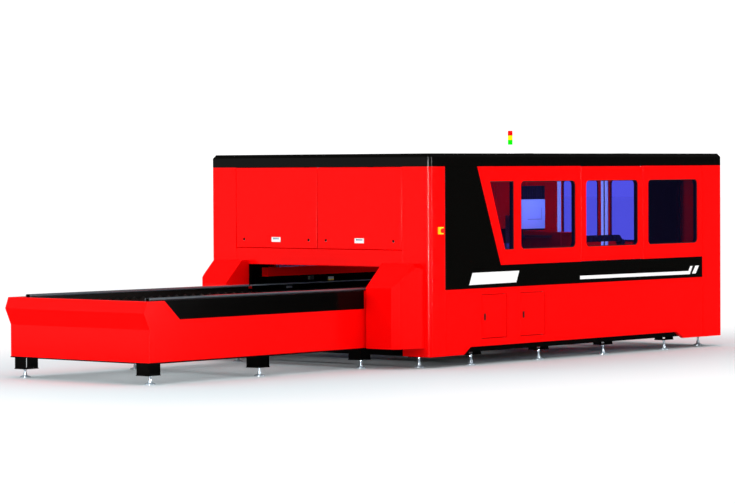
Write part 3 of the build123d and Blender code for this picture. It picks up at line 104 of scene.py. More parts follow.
class GroupBuilder:
    """A shader node group in the making: named inputs, and a shade, a roughness and a height out."""

    FLOAT: ClassVar[str] = "NodeSocketFloat"
    OUTPUTS: ClassVar[tuple[str, ...]] = ("Shade", "Roughness", "Height")

    def __init__(self, name: str, inputs: dict[str, float]) -> None:
        """Start the group.

        Args:
            name: The group's name.
            inputs: Float inputs and their default values.
        """
        self.tree = bpy.data.node_groups.new(name, "ShaderNodeTree")
        for label, value in inputs.items():
            socket = self.tree.interface.new_socket(label, in_out="INPUT", socket_type=self.FLOAT)
            socket.default_value = value
        for label in self.OUTPUTS:
            self.tree.interface.new_socket(label, in_out="OUTPUT", socket_type=self.FLOAT)
        self.inlet = self.tree.nodes.new("NodeGroupInput")
        self.outlet = self.tree.nodes.new("NodeGroupOutput")
        self.place = self.add("ShaderNodeTexCoord").outputs["Object"]

    def add(self, kind: str, **values: object) -> bpy.types.Node:
        """Add a node and set its properties."""
        node = self.tree.nodes.new(kind)
        for label, value in values.items():
            setattr(node, label, value)
        return node

    def link(self, source: bpy.types.NodeSocket, target: bpy.types.NodeSocket) -> None:
        """Join two sockets."""
        self.tree.links.new(source, target)

    def feed(self, value: object, socket: bpy.types.NodeSocket) -> None:
        """Join a socket to another, or set it to a number."""
        if isinstance(value, bpy.types.NodeSocket):
            self.link(value, socket)
        else:
            socket.default_value = value

    def maths(self, operation: str, first: object, second: object) -> bpy.types.NodeSocket:
        """Add a Math node.

        Args:
            operation: The node's operation.
            first: A socket or a number.
            second: A socket or a number.

        Returns:
            The result's socket.
        """
        node = self.add("ShaderNodeMath", operation=operation)
        self.feed(first, node.inputs[0])
        self.feed(second, node.inputs[1])
        return node.outputs[0]

    def vary(self, base: object, noise: bpy.types.NodeSocket, amount: object) -> bpy.types.NodeSocket:
        """A base value plus the noise about its middle, times an amount.

        Args:
            base: A socket or a number.
            noise: Noise from 0 to 1.
            amount: A socket or a number.

        Returns:
            The varied value.
        """
        swing = self.maths("SUBTRACT", noise, 0.5)
        return self.maths("ADD", base, self.maths("MULTIPLY", swing, amount))

    def noise(self, scale: object, detail: float, stretch: Point = (1, 1, 1)) -> bpy.types.NodeSocket:
        """Noise on object coordinates.

        Args:
            scale: A socket or a number, in cells for each metre.
            detail: The noise's octaves.
            stretch: Factors on the coordinates, to draw the noise out.

        Returns:
            The noise's value.
        """
        node = self.add("ShaderNodeTexNoise")
        node.inputs["Detail"].default_value = detail
        mapping = self.add("ShaderNodeMapping")
        mapping.inputs["Scale"].default_value = stretch
        self.link(self.place, mapping.inputs["Vector"])
        self.link(mapping.outputs["Vector"], node.inputs["Vector"])
        self.feed(scale, node.inputs["Scale"])
        return node.outputs["Fac"]

    def finish(self, *sockets: bpy.types.NodeSocket) -> bpy.types.NodeTree:
        """Join the results to the outputs.

        Args:
            sockets: The shade, the roughness and the height.

        Returns:
            The finished group.
        """
        for label, socket in zip(self.OUTPUTS, sockets):
            self.link(socket, self.outlet.inputs[label])
        return self.tree


class Effects:
    """The shared effects, each built once."""

    def __init__(self) -> None:
        """Build the groups."""
        self.peel = self.powder_coat()
        self.grain = self.drawn_grain()
        self.mould = self.moulded_skin()

    def powder_coat(self) -> bpy.types.NodeTree:
        """Powder coat: fine orange peel, with slow drifts of shade and gloss."""
        inputs = {"Peel Scale": 420.0, "Drift": 0.06, "Gloss": 0.3, "Gloss Drift": 0.08}
        group = GroupBuilder("powder_coat", inputs)
        source = group.inlet.outputs
        shade = group.vary(1.0, group.noise(scale=1.7, detail=3.0), source["Drift"])
        rough = group.vary(source["Gloss"], group.noise(scale=9.0, detail=4.0), source["Gloss Drift"])
        return group.finish(shade, rough, group.noise(source["Peel Scale"], detail=2.0))

    def drawn_grain(self) -> bpy.types.NodeTree:
        """Drawn or rolled metal: lines along the machine, with stains between."""
        inputs = {"Line Scale": 300.0, "Stain": 0.3, "Gloss": 0.3, "Gloss Drift": 0.2}
        group = GroupBuilder("drawn_grain", inputs)
        source = group.inlet.outputs
        lines = group.noise(source["Line Scale"], detail=3.0, stretch=(0.02, 1.0, 1.0))
        shade = group.vary(1.0, group.noise(scale=6.0, detail=5.0), source["Stain"])
        return group.finish(shade, group.vary(source["Gloss"], lines, source["Gloss Drift"]), lines)

    def moulded_skin(self) -> bpy.types.NodeTree:
        """Moulded plastic: a fine spark-eroded skin."""
        inputs = {"Grain Scale": 900.0, "Gloss": 0.4, "Gloss Drift": 0.15, "Drift": 0.08}
        group = GroupBuilder("moulded_skin", inputs)
        source = group.inlet.outputs
        grain = group.noise(source["Grain Scale"], detail=4.0)
        shade = group.vary(1.0, grain, source["Drift"])
        return group.finish(shade, group.vary(source["Gloss"], grain, source["Gloss Drift"]), grain)


# Finishes


class Shader:
    """A material with its Principled shader, in the making."""

    def __init__(self, name: str) -> None:
        """Start a material with a bare Principled shader."""
        self.material = bpy.data.materials.new(name)
        self.material.use_nodes = True
        self.tree = self.material.node_tree
        self.main = self.tree.nodes["Principled BSDF"]

    def fix(self, **values: object) -> None:
        """Set Principled sockets that are the same all over; underscores stand for spaces."""
        for label, value in values.items():
            self.main.inputs[label.replace("_", " ")].default_value = value

    def effect(self, group: bpy.types.NodeTree, **values: float) -> bpy.types.Node:
        """Place a shared effect with its own values; underscores stand for spaces."""
        node = self.tree.nodes.new("ShaderNodeGroup")
        node.node_tree = group
        for label, value in values.items():
            node.inputs[label.replace("_", " ")].default_value = value
        return node

    def tint(self, colour: Colour, shade: bpy.types.NodeSocket) -> bpy.types.NodeSocket:
        """A colour times a shade that changes over the surface."""
        node = self.tree.nodes.new("ShaderNodeVectorMath")
        node.operation = "SCALE"
        node.inputs[0].default_value = colour
        self.tree.links.new(shade, node.inputs["Scale"])
        return node.outputs[0]

    def shade(self, colour: bpy.types.NodeSocket, level: float) -> bpy.types.NodeSocket:
        """A colour that changes over the surface, times a level."""
        node = self.tree.nodes.new("ShaderNodeVectorMath")
        node.operation = "SCALE"
        node.inputs["Scale"].default_value = level
        self.tree.links.new(colour, node.inputs[0])
        return node.outputs[0]

    def dress(self, colour: Colour, effect: bpy.types.Node, depth: float) -> None:
        """Feed colour, roughness and bump from a shared effect.

        Args:
            colour: The base colour.
            effect: The placed effect, with Shade, Roughness and Height.
            depth: The bump's distance in metres.
        """
        self.tree.links.new(self.tint(colour, effect.outputs["Shade"]), self.main.inputs["Base Color"])
        self.tree.links.new(effect.outputs["Roughness"], self.main.inputs["Roughness"])
        bump = self.tree.nodes.new("ShaderNodeBump")
        bump.inputs["Distance"].default_value = depth
        self.tree.links.new(effect.outputs["Height"], bump.inputs["Height"])
        self.tree.links.new(bump.outputs["Normal"], self.main.inputs["Normal"])


@dataclass(frozen=True)
class PowderCoat:
    """Powder-coated sheet."""

    name: str
    colour: Colour
    gloss: float = 0.3
    specular: float = 0.5
    peel_scale: float = 420.0
    depth: float = 0.000006
    gloss_drift: float = 0.03
    drift: float = 0.06
    refraction: float = 1.5
    glow: float = 0.0

    def build(self, effects: Effects) -> bpy.types.Material:
        """Make the material."""
        shader = Shader(self.name)
        shader.fix(Specular_IOR_Level=self.specular, IOR=self.refraction)
        shader.fix(Emission_Color=(*self.colour, 1.0), Emission_Strength=self.glow)
        effect = shader.effect(
            effects.peel, Peel_Scale=self.peel_scale, Gloss=self.gloss, Drift=self.drift,
            Gloss_Drift=self.gloss_drift,
        )
        shader.dress(self.colour, effect, self.depth)
        return shader.material


@dataclass(frozen=True)
class BareMetal:
    """Rolled, drawn, ground or plated metal."""

    name: str
    colour: Colour
    gloss: float = 0.3
    gloss_drift: float = 0.2
    stain: float = 0.15
    line_scale: float = 300.0
    depth: float = 0.00005
    metallic: float = 1.0

    def build(self, effects: Effects) -> bpy.types.Material:
        """Make the material."""
        shader = Shader(self.name)
        shader.fix(Metallic=self.metallic)
        effect = shader.effect(
            effects.grain, Line_Scale=self.line_scale, Stain=self.stain, Gloss=self.gloss,
            Gloss_Drift=self.gloss_drift,
        )
        shader.dress(self.colour, effect, self.depth)
        return shader.material


@dataclass(frozen=True)
class Moulding:
    """Moulded plastic or rubber."""

    name: str
    colour: Colour
    gloss: float = 0.45
    specular: float = 0.4
    grain_scale: float = 900.0
    depth: float = 0.00005

    def build(self, effects: Effects) -> bpy.types.Material:
        """Make the material."""
        shader = Shader(self.name)
        shader.fix(Specular_IOR_Level=self.specular)
        effect = shader.effect(effects.mould, Grain_Scale=self.grain_scale, Gloss=self.gloss)
        shader.dress(self.colour, effect, self.depth)
        return shader.material


@dataclass(frozen=True)
class TintedGlass:
    """Laser safety glazing, tinted through."""

    name: str
    colour: Colour
    # The colour of a painted glow that the glass gives off itself.
    painted_glow: Colour
    roughness: float = 0.0
    refraction: float = 1.02

    def build(self, effects: Effects) -> bpy.types.Material:
        """Make the material, with a faint painted glow of its own."""
        shader = Shader(self.name)
        # Emission here is a dim painted glow, so the panes show a glow that no lamp gives.
        shader.fix(
            Transmission_Weight=1.0, IOR=self.refraction, Roughness=self.roughness,
            Base_Color=(*self.colour, 1.0), Emission_Color=(*self.painted_glow, 1.0), Emission_Strength=1.0,
        )
        return shader.material


@dataclass(frozen=True)
class SignalLens:
    """The signal tower's lenses: a colour for each tier, from the lowest, with moulded rings."""

    name: str
    low: float
    tier: float
    colours: tuple[Colour, ...]
    glow: float = 1.0
    base: float = 0.1
    rings: float = 150.0
    ring_depth: float = 0.0004
    roughness: float = 0.3
    specular: float = 0.05

    def build(self, effects: Effects) -> bpy.types.Material:
        """Make the material: constant steps of colour up the tower."""
        shader = Shader(self.name)
        nodes, links = shader.tree.nodes, shader.tree.links
        place = nodes.new("ShaderNodeTexCoord").outputs["Object"]
        split = nodes.new("ShaderNodeSeparateXYZ")
        links.new(place, split.inputs[0])
        scale = nodes.new("ShaderNodeMapRange")
        scale.inputs["From Min"].default_value = self.low
        scale.inputs["From Max"].default_value = self.low + self.tier * len(self.colours)
        links.new(split.outputs["Z"], scale.inputs["Value"])
        ramp = nodes.new("ShaderNodeValToRGB")
        ramp.color_ramp.interpolation = "CONSTANT"
        steps = ramp.color_ramp.elements
        while len(steps) < len(self.colours):
            steps.new(1.0)
        for index, colour in enumerate(self.colours):
            steps[index].position = index / len(self.colours)
            steps[index].color = (*colour, 1.0)
        links.new(scale.outputs["Result"], ramp.inputs["Fac"])
        links.new(shader.shade(ramp.outputs["Color"], self.base), shader.main.inputs["Base Color"])
        links.new(ramp.outputs["Color"], shader.main.inputs["Emission Color"])
        wave = nodes.new("ShaderNodeTexWave")
        wave.bands_direction = "Z"
        wave.inputs["Scale"].default_value = self.rings
        links.new(place, wave.inputs["Vector"])
        bump = nodes.new("ShaderNodeBump")
        bump.inputs["Distance"].default_value = self.ring_depth
        links.new(wave.outputs["Fac"], bump.inputs["Height"])
        links.new(bump.outputs["Normal"], shader.main.inputs["Normal"])
        shader.fix(Emission_Strength=self.glow, Roughness=self.roughness, Specular_IOR_Level=self.specular)
        return shader.material


Finish = PowderCoat | BareMetal | Moulding | TintedGlass | SignalLens


def lens_finish() -> SignalLens:
    """The lens finish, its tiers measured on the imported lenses."""
    low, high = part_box("tower_lenses")
    colours = ((0.0, 1.0, 0.0), (1.0, 1.0, 0.0), (1.0, 0.0, 0.0))
    return SignalLens("signal_lens", low.z, (high.z - low.z) / len(colours), colours)


FINISHES: dict[Slot, Finish] = {
    Slot.RED: PowderCoat("signal_red_coat", (0.99, 0.001, 0.001), gloss=0.12, specular=0.08),
    Slot.BLACK: PowderCoat(
        "satin_black_coat", (0.0016, 0.0015, 0.0012), gloss=0.12, specular=0.1, drift=0.2
    ),
    Slot.PALLET: PowderCoat(
        "pallet_black_coat", (0.004, 0.0036, 0.0034), gloss=0.14, specular=0.45, drift=0.2
    ),
    Slot.RAW_STEEL: BareMetal("scaled_steel", (0.02, 0.018, 0.017), gloss=0.5, stain=0.5),
    Slot.GROUND_STEEL: BareMetal("ground_steel", (0.7, 0.7, 0.72), gloss=0.22),
    Slot.ZINC: BareMetal("bright_zinc", (0.62, 0.72, 0.8), gloss=0.2, gloss_drift=0.12, metallic=0.45),
    Slot.ALUMINIUM: BareMetal("milled_aluminium", (0.8, 0.81, 0.83), gloss=0.3),
    Slot.COPPER: BareMetal("turned_copper", (0.82, 0.42, 0.24), gloss=0.2),
    Slot.GLASS: TintedGlass("blue_safety_glass", (0.26, 0.265, 0.815), (0.0016, 0.0014, 0.005)),
    Slot.RUBBER: Moulding("seal_rubber", (0.006, 0.006, 0.007), gloss=0.6, specular=0.2),
    Slot.WHITE: PowderCoat("white_coat", (0.5, 0.7, 0.98), gloss=0.35, specular=0.3, drift=0.02),
    Slot.MOTOR: PowderCoat("motor_coat", (0.006, 0.006, 0.007), gloss=0.4, specular=0.3),
    Slot.CHAIN: Moulding("chain_nylon", (0.012, 0.012, 0.014), gloss=0.5),
    Slot.LATCH: Moulding("latch_nylon", (0.003, 0.003, 0.003), gloss=0.45, specular=0.15),
    Slot.YELLOW: Moulding("yellow_shell", (1.0, 0.95, 0.02), gloss=0.3, specular=0.2),
    Slot.RED_PLASTIC: Moulding("stop_red", (0.9, 0.006, 0.004), gloss=0.22, specular=0.2),
    Slot.LENS: lens_finish(),
}
EXTRA_FINISHES: dict[str, Finish] = {
    "white_vinyl": PowderCoat("white_vinyl", (0.95, 0.95, 0.95), gloss=0.4, specular=0.2, drift=0.02),
    "black_vinyl": PowderCoat("black_vinyl", (0.0012, 0.001, 0.0009), gloss=0.12, specular=0.05, drift=0.1),
    # White with a painted glow, so that the pole reads as brightly lit white.
    "pole_white_painted_glow": PowderCoat(
        "pole_white_painted_glow", (0.95, 0.95, 0.95), gloss=0.4, specular=0.2, drift=0.02, glow=0.6
    ),
    "matt_red": PowderCoat("matt_red", (0.9, 0.004, 0.004), gloss=0.7, specular=0.0),
    "rail_steel": PowderCoat(
        "polished_rail", (0.085, 0.107, 0.128), gloss=0.14, specular=0.5, drift=0.1, refraction=2.0
    ),
    "guide_steel": PowderCoat("guide_steel", (0.14, 0.17, 0.2), gloss=0.3, drift=0.2),
    # Pale strips that glow as painted light.
    "painted_light_strip": PowderCoat("edge_strip", (0.62, 0.8, 1.0), gloss=0.25, drift=0.02, glow=0.45),
    "groove_shadow": PowderCoat("groove_shadow", (0.3, 0.42, 0.6), gloss=0.5, drift=0.02),
    "sensor_yellow": Moulding("sensor_yellow", (0.75, 0.7, 0.05), gloss=0.35),
    "sensor_grey": Moulding("sensor_grey", (0.5, 0.56, 0.56), gloss=0.35),
    "sensor_dark": Moulding("sensor_dark", (0.03, 0.045, 0.035), gloss=0.35),
}


# Mesh building


@dataclass(frozen=True)
class Wall:
    """A flat face to build on: an origin, two directions in the face and the way out of it."""

    origin: Point
    along: Point
    up: Point
    out: Point

    def place(self, local: np.ndarray) -> np.ndarray:
        """Carry local points (along, up, out) into the machine's frame."""
        axes = np.array([self.along, self.up, self.out], float)
        return np.asarray(self.origin, float) + np.asarray(local, float) @ axes

    def raised(self, height: float) -> "Wall":
        """The same wall, moved out."""
        origin = np.asarray(self.origin, float) + height * np.asarray(self.out, float)
        return Wall(tuple(origin.tolist()), self.along, self.up, self.out)


def side_wall(x: float, y: float, z: float = 0.0, hand: int = 1) -> Wall:
    """An upright wall along the machine: hand 1 faces the operator, and hand -1 faces away."""
    return Wall((x, y, z), (hand, 0, 0), (0, 0, 1), (0, -hand, 0))


def level_seat(x: float, y: float, z: float) -> Wall:
    """A level seat that faces up."""
    return Wall((x, y, z), (1, 0, 0), (0, 1, 0), (0, 0, 1))


def lattice(rows: int, columns: int, wrap: bool, close: bool = False) -> np.ndarray:
    """Quads of a grid of points.

    Args:
        rows: Points along the first parameter.
        columns: Points along the second parameter.
        wrap: Whether the second parameter closes on itself.
        close: Whether the first parameter closes on itself.

    Returns:
        Point numbers, four for each quad.
    """
    row = np.arange(rows if close else rows - 1)[:, None]
    column = np.arange(columns if wrap else columns - 1)[None, :]
    after, below = (column + 1) % columns, (row + 1) % rows
    here, there = row * columns, below * columns
    corners = (here + column, here + after, there + after, there + column)
    return np.stack(np.broadcast_arrays(*corners), -1).reshape(-1, 4)


def capped(rings: int, count: int) -> Faces:
    """Faces of a stack of rings, closed at both ends.

    Args:
        rings: How many rings there are.
        count: Points on each ring.

    Returns:
        The faces.
    """
    ends = [list(range(count))[::-1], list(range((rings - 1) * count, rings * count))]
    return lattice(rings, count, True).tolist() + ends


def inset(outline: np.ndarray, distance: float) -> np.ndarray:
    """Move each corner of a closed outline in along its mitre.

    Args:
        outline: Corners in order, counter-clockwise.
        distance: How far each edge moves in.

    Returns:
        The moved corners.
    """
    ahead = np.roll(outline, -1, 0) - outline
    ahead /= np.linalg.norm(ahead, axis=1, keepdims=True)
    inward = np.stack([-ahead[:, 1], ahead[:, 0]], 1)
    before = np.roll(inward, 1, 0)
    mitre = (inward + before) / (1 + np.sum(inward * before, 1, keepdims=True))
    return outline + distance * mitre


def rectangle(left: float, right: float, low: float, high: float) -> np.ndarray:
    """Corners of a rectangle, counter-clockwise."""
    return np.array([(left, low), (right, low), (right, high), (left, high)], float)


def rounded(
    left: float, right: float, low: float, high: float, radius: float, steps: int = 7
) -> np.ndarray:
    """A rectangle with quarter circles for corners, counter-clockwise.

    Args:
        left: The left side.
        right: The right side.
        low: The lower side.
        high: The upper side.
        radius: The corners' radius.
        steps: Points on each corner.

    Returns:
        The outline's points.
    """
    angle = np.linspace(0, TAU / 4, steps)[None, :] + (np.arange(4) * TAU / 4)[:, None]
    arcs = radius * np.stack([np.cos(angle), np.sin(angle)], -1)
    centres = np.array(
        [(right - radius, high - radius), (left + radius, high - radius), (left + radius, low + radius),
         (right - radius, low + radius)], float
    )
    return (centres[:, None] + arcs).reshape(-1, 2)


def slab(outline: Outline, thickness: float, edge: float, wall: Wall) -> Shape:
    """A plate on a wall with its front edge rounded over: rings of the outline, inset and raised.

    Args:
        outline: Corners along and up the wall, counter-clockwise.
        thickness: How far the plate stands off.
        edge: The edge's radius.
        wall: The wall that carries it.

    Returns:
        Points and faces.
    """
    corners = np.asarray(outline, float)
    turn = np.linspace(0, math.pi / 2, 4)
    insets = np.concatenate([[0.0], edge * (1 - np.cos(turn))])
    heights = np.concatenate([[0.0], thickness - edge + edge * np.sin(turn)])
    count = len(corners)
    rings = [np.column_stack([inset(corners, d), np.full(count, h)]) for d, h in zip(insets, heights)]
    return wall.place(np.concatenate(rings)), capped(len(rings), count)


def hoop(outline: Outline, thickness: float, height: float, wall: Wall) -> Shape:
    """A closed band round an outline: a rectangular section carried along it.

    Args:
        outline: The band's outer edge, counter-clockwise.
        thickness: How far its section reaches in from the edge.
        height: How far it stands off the wall.
        wall: The wall that carries it.

    Returns:
        Points and faces.
    """
    outer = np.asarray(outline, float)
    inner = inset(outer, thickness)
    section = ((outer, 0.0), (outer, height), (inner, height), (inner, 0.0))
    rings = [np.column_stack([edge, np.full(len(edge), h)]) for edge, h in section]
    return wall.place(np.concatenate(rings)), lattice(len(rings), len(outer), True, True)[:, ::-1].tolist()


def turned(profile: Sequence[tuple[float, float]], wall: Wall, sides: int) -> Shape:
    """A turned solid: a profile of radius and height carried round the wall's outward axis.

    Args:
        profile: Radius and height, from the base to the tip.
        wall: Where the axis stands.
        sides: Steps round the axis.

    Returns:
        Points and faces, closed at both ends.
    """
    shape = np.asarray(profile, float)
    angle = np.arange(sides) * TAU / sides
    ring = np.stack([np.cos(angle), np.sin(angle)], 1)
    local = np.concatenate(
        [shape[:, None, :1] * ring[None], np.broadcast_to(shape[:, None, 1:], (len(shape), sides, 1))], 2
    )
    return wall.place(local.reshape(-1, 3)), capped(len(shape), sides)


def bar(section: Outline, length: float, wall: Wall) -> Shape:
    """A straight bar: a closed section, along and up, carried out from the wall.

    Args:
        section: Corners of the section, counter-clockwise.
        length: The bar's length.
        wall: Where its section lies.

    Returns:
        Points and faces.
    """
    corners = np.asarray(section, float)
    ends = [np.column_stack([corners, np.full(len(corners), h)]) for h in (0.0, length)]
    return wall.place(np.concatenate(ends)), capped(len(ends), len(corners))


def bent_rod(path: Outline, radius: float, wall: Wall, sides: int = 14) -> Shape:
    """A round rod along a flat path: at each place a circle across the path's direction.

    Args:
        path: Places up and out from the wall.
        radius: The rod's radius.
        wall: The wall that it stands on.
        sides: Steps round the rod.

    Returns:
        Points and faces, closed at both ends.
    """
    places = np.asarray(path, float)
    ahead = np.gradient(places, axis=0)
    ahead /= np.linalg.norm(ahead, axis=1, keepdims=True)
    normal = np.stack([-ahead[:, 1], ahead[:, 0]], 1)
    angle = np.arange(sides) * TAU / sides
    across = np.broadcast_to(radius * np.sin(angle)[None, :, None], (len(places), sides, 1))
    lift = places[:, None] + radius * np.cos(angle)[None, :, None] * normal[:, None]
    points = np.concatenate([across, lift], 2).reshape(-1, 3)
    return wall.place(points), capped(len(places), sides)


def repeat(shape: Shape, offsets: np.ndarray) -> Shape:
    """Copies of a shape, moved by each offset, as one mesh.

    Args:
        shape: Points and faces.
        offsets: One row for each copy.

    Returns:
        Points and faces of all the copies.
    """
    points, faces = shape
    moved = (np.asarray(offsets, float)[:, None, :] + points[None]).reshape(-1, 3)
    shifts = range(0, len(points) * len(offsets), len(points))
    return moved, [[corner + shift for corner in face] for shift in shifts for face in faces]


def merge(*shapes: Shape) -> Shape:
    """Several shapes as one mesh."""
    points: list[np.ndarray] = []
    faces: Faces = []
    for shape_points, shape_faces in shapes:
        shift = sum(len(p) for p in points)
        faces += [[corner + shift for corner in face] for face in shape_faces]
        points.append(shape_points)
    return np.concatenate(points), faces


class Workshop:
    """Makes materials once and adds pieces to the machine."""

    def __init__(self) -> None:
        """Build every finish."""
        self.effects = Effects()
        self.slots = {slot: finish.build(self.effects) for slot, finish in FINISHES.items()}
        self.extras = {name: finish.build(self.effects) for name, finish in EXTRA_FINISHES.items()}

    def dress_nodes(self) -> None:
        """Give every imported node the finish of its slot."""
        for entry in frame["record"]["subparts"]:
            node = frame["nodes"][entry["node"]]
            node.data.materials.clear()
            node.data.materials.append(self.slots[Slot(entry["material_slot"])])

    def add(
        self,
        name: str,
        shape: Shape,
        body: Body,
        slot: Slot,
        finish: str | None = None,
        smooth: bool = False,
    ) -> bpy.types.Object:
        """Add a piece that rides on a body.

        Args:
            name: The piece's name.
            shape: Points and faces.
            body: The body that carries it.
            slot: The record's slot that it takes its finish from.
            finish: One of the extra finishes, in place of the slot's own.
            smooth: Whether its faces are shaded smooth below a sharp angle.

        Returns:
            The new object.
        """
        points, faces = shape
        mesh = bpy.data.meshes.new(name)
        mesh.from_pydata(points.tolist(), [], faces)
        mesh.validate()
        mesh.materials.append(self.extras[finish] if finish else self.slots[slot])
        if smooth:
            mesh.shade_smooth()
            mesh.set_sharp_from_angle(angle=SHARP_ANGLE)
        piece = bpy.data.objects.new(name, mesh)
        bpy.context.scene.collection.objects.link(piece)
        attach(piece, body.value)
        LOG.info("%s: %d points on %s", name, len(points), body.value)
        return piece


# Sub-assemblies


@dataclass
class Stations:
    """Where the cabin's faces lie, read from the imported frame."""

    entry: float = field(default_factory=lambda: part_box("corner_panels")[0].x)
    front: float = field(default_factory=lambda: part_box("corner_panels")[0].y)
    rear: float = field(default_factory=lambda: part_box("corner_panels")[1].x)

    def front_wall(self) -> Wall:
        """The operator side: along from the entry wall, and up from the floor."""
        return side_wall(self.entry, self.front)

    def inner_front(self, depth: float) -> Wall:
        """The back of the operator side's panels, facing into the cabin; along runs to the entry wall."""
        return side_wall(self.entry, self.front + depth, hand=-1)

    def entry_wall(self) -> Wall:
        """The entry end: along towards the operator side, and up from the floor."""
        return Wall((self.entry, 0.0, 0.0), (0, -1, 0), (0, 0, 1), (-1, 0, 0))

    def rear_wall(self) -> Wall:
        """The rear end from outside: along away from the operator side."""
        return Wall((self.rear, 0.0, 0.0), (0, 1, 0), (0, 0, 1), (1, 0, 0))

    def inner_rear(self, depth: float) -> Wall:
        """The back of the rear panels, facing into the cabin; along runs to the operator side."""
        return Wall((self.rear - depth, 0.0, 0.0), (0, -1, 0), (0, 0, 1), (-1, 0, 0))


@dataclass
class OperatorSide:
    """The plain plate and stripes on the black band, and the stop button's collar."""

    stations: Stations
    plate: Corners = ((0.643, 0.847), (1.440, 0.853), (1.493, 0.976), (0.699, 0.974))
    stripe: Corners = (
        (2.572, 0.851), (4.657, 0.847), (4.715, 0.939), (4.667, 0.939), (4.630, 0.884), (2.572, 0.889),
    )
    dash: Corners = ((4.701, 0.852), (4.775, 0.852), (4.841, 0.941), (4.771, 0.941))
    plate_thickness: float = 0.003
    plate_edge: float = 0.0008
    film: float = 0.0008
    collar_sides: int = 32
    collar: Corners = ((0.022, 0.0), (0.022, 0.002), (0.019, 0.0035), (0.0115, 0.0035))

    def build(self, shop: Workshop) -> None:
        """Lay the bare plate, the stripe with its raised end, and the dash beyond it."""
        wall = self.stations.front_wall()
        plate = slab(self.plate, self.plate_thickness, self.plate_edge, wall)
        shop.add("bare_plate", plate, Body.MACHINE, Slot.WHITE, "white_vinyl")
        marks = [slab(mark, self.film, FILM_EDGE, wall) for mark in (self.stripe, self.dash)]
        shop.add("band_stripe", merge(*marks), Body.MACHINE, Slot.WHITE, "white_vinyl")
        low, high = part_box("estop_box")
        seat = side_wall((low.x + high.x) / 2, low.y, (low.z + high.z) / 2)
        collar = turned(self.collar, seat, self.collar_sides)
        shop.add("stop_collar", collar, Body.MACHINE, Slot.LATCH, smooth=True)


@dataclass
class FlapTrim:
    """The bright plate of a flap's pull, the caps of its two locks, and its facing at the other flap."""

    stations: Stations
    body: Body
    node: str
    cap: Corners = ((0.0135, 0.0), (0.0135, 0.0015), (0.011, 0.003), (0.002, 0.003))
    cap_sides: int = 24
    pull_half: float = 0.065
    pull_rise: float = 0.026
    slot_half: float = 0.046
    slot_low: float = 0.0
    slot_high: float = 0.018
    film: float = 0.001
    plate_edge: float = 0.0004
    edge_thickness: float = 0.0036
    edge_depth: tuple[float, float] = (0.0006, 0.007)

    def meeting_edge(self, shop: Workshop) -> None:
        """Face the edge where the two flaps meet, so that less of the gap shows."""
        low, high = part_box(self.body.value)
        hand = 1 if low.y > 0 else -1
        inner = low.y if hand > 0 else high.y
        wall = side_wall(self.stations.entry, inner, hand=hand)
        ends = sorted(hand * depth for depth in self.edge_depth)
        facing = slab(rectangle(*ends, low.z, high.z), self.edge_thickness, FILM_EDGE, wall)
        shop.add(f"{self.body.value}_meeting_edge", facing, self.body, Slot.RED, "matt_red")

    def build(self, shop: Workshop) -> None:
        """Frame the pull's slot, cap each lock, and face the meeting edge."""
        self.meeting_edge(shop)
        low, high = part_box(self.node)
        wall = self.stations.entry_wall().raised(self.stations.entry - low.x)
        middle = -(low.y + high.y) / 2
        level = (low.z + high.z) / 2
        half, rise = self.pull_half, self.pull_rise
        spans = (
            rectangle(-half, half, -rise, self.slot_low),
            rectangle(-half, half, self.slot_high, rise),
            rectangle(-half, -self.slot_half, self.slot_low, self.slot_high),
            rectangle(self.slot_half, half, self.slot_low, self.slot_high),
        )
        strips = [slab(span + (middle, level), self.film, self.plate_edge, wall) for span in spans]
        shop.add(f"{self.body.value}_pull_plate", merge(*strips), self.body, Slot.ZINC, "white_vinyl")
        radius = self.cap[0][0]
        places = (-low.y - radius, -high.y + radius)
        seat = Wall(wall.place(np.array([0.0, level, 0.0])).tolist(), wall.along, wall.up, wall.out)
        offsets = np.array([[0.0, -place, 0.0] for place in places])
        caps = repeat(turned(self.cap, seat, self.cap_sides), offsets)
        shop.add(f"{self.body.value}_lock_caps", caps, self.body, Slot.LATCH, "black_vinyl", smooth=True)


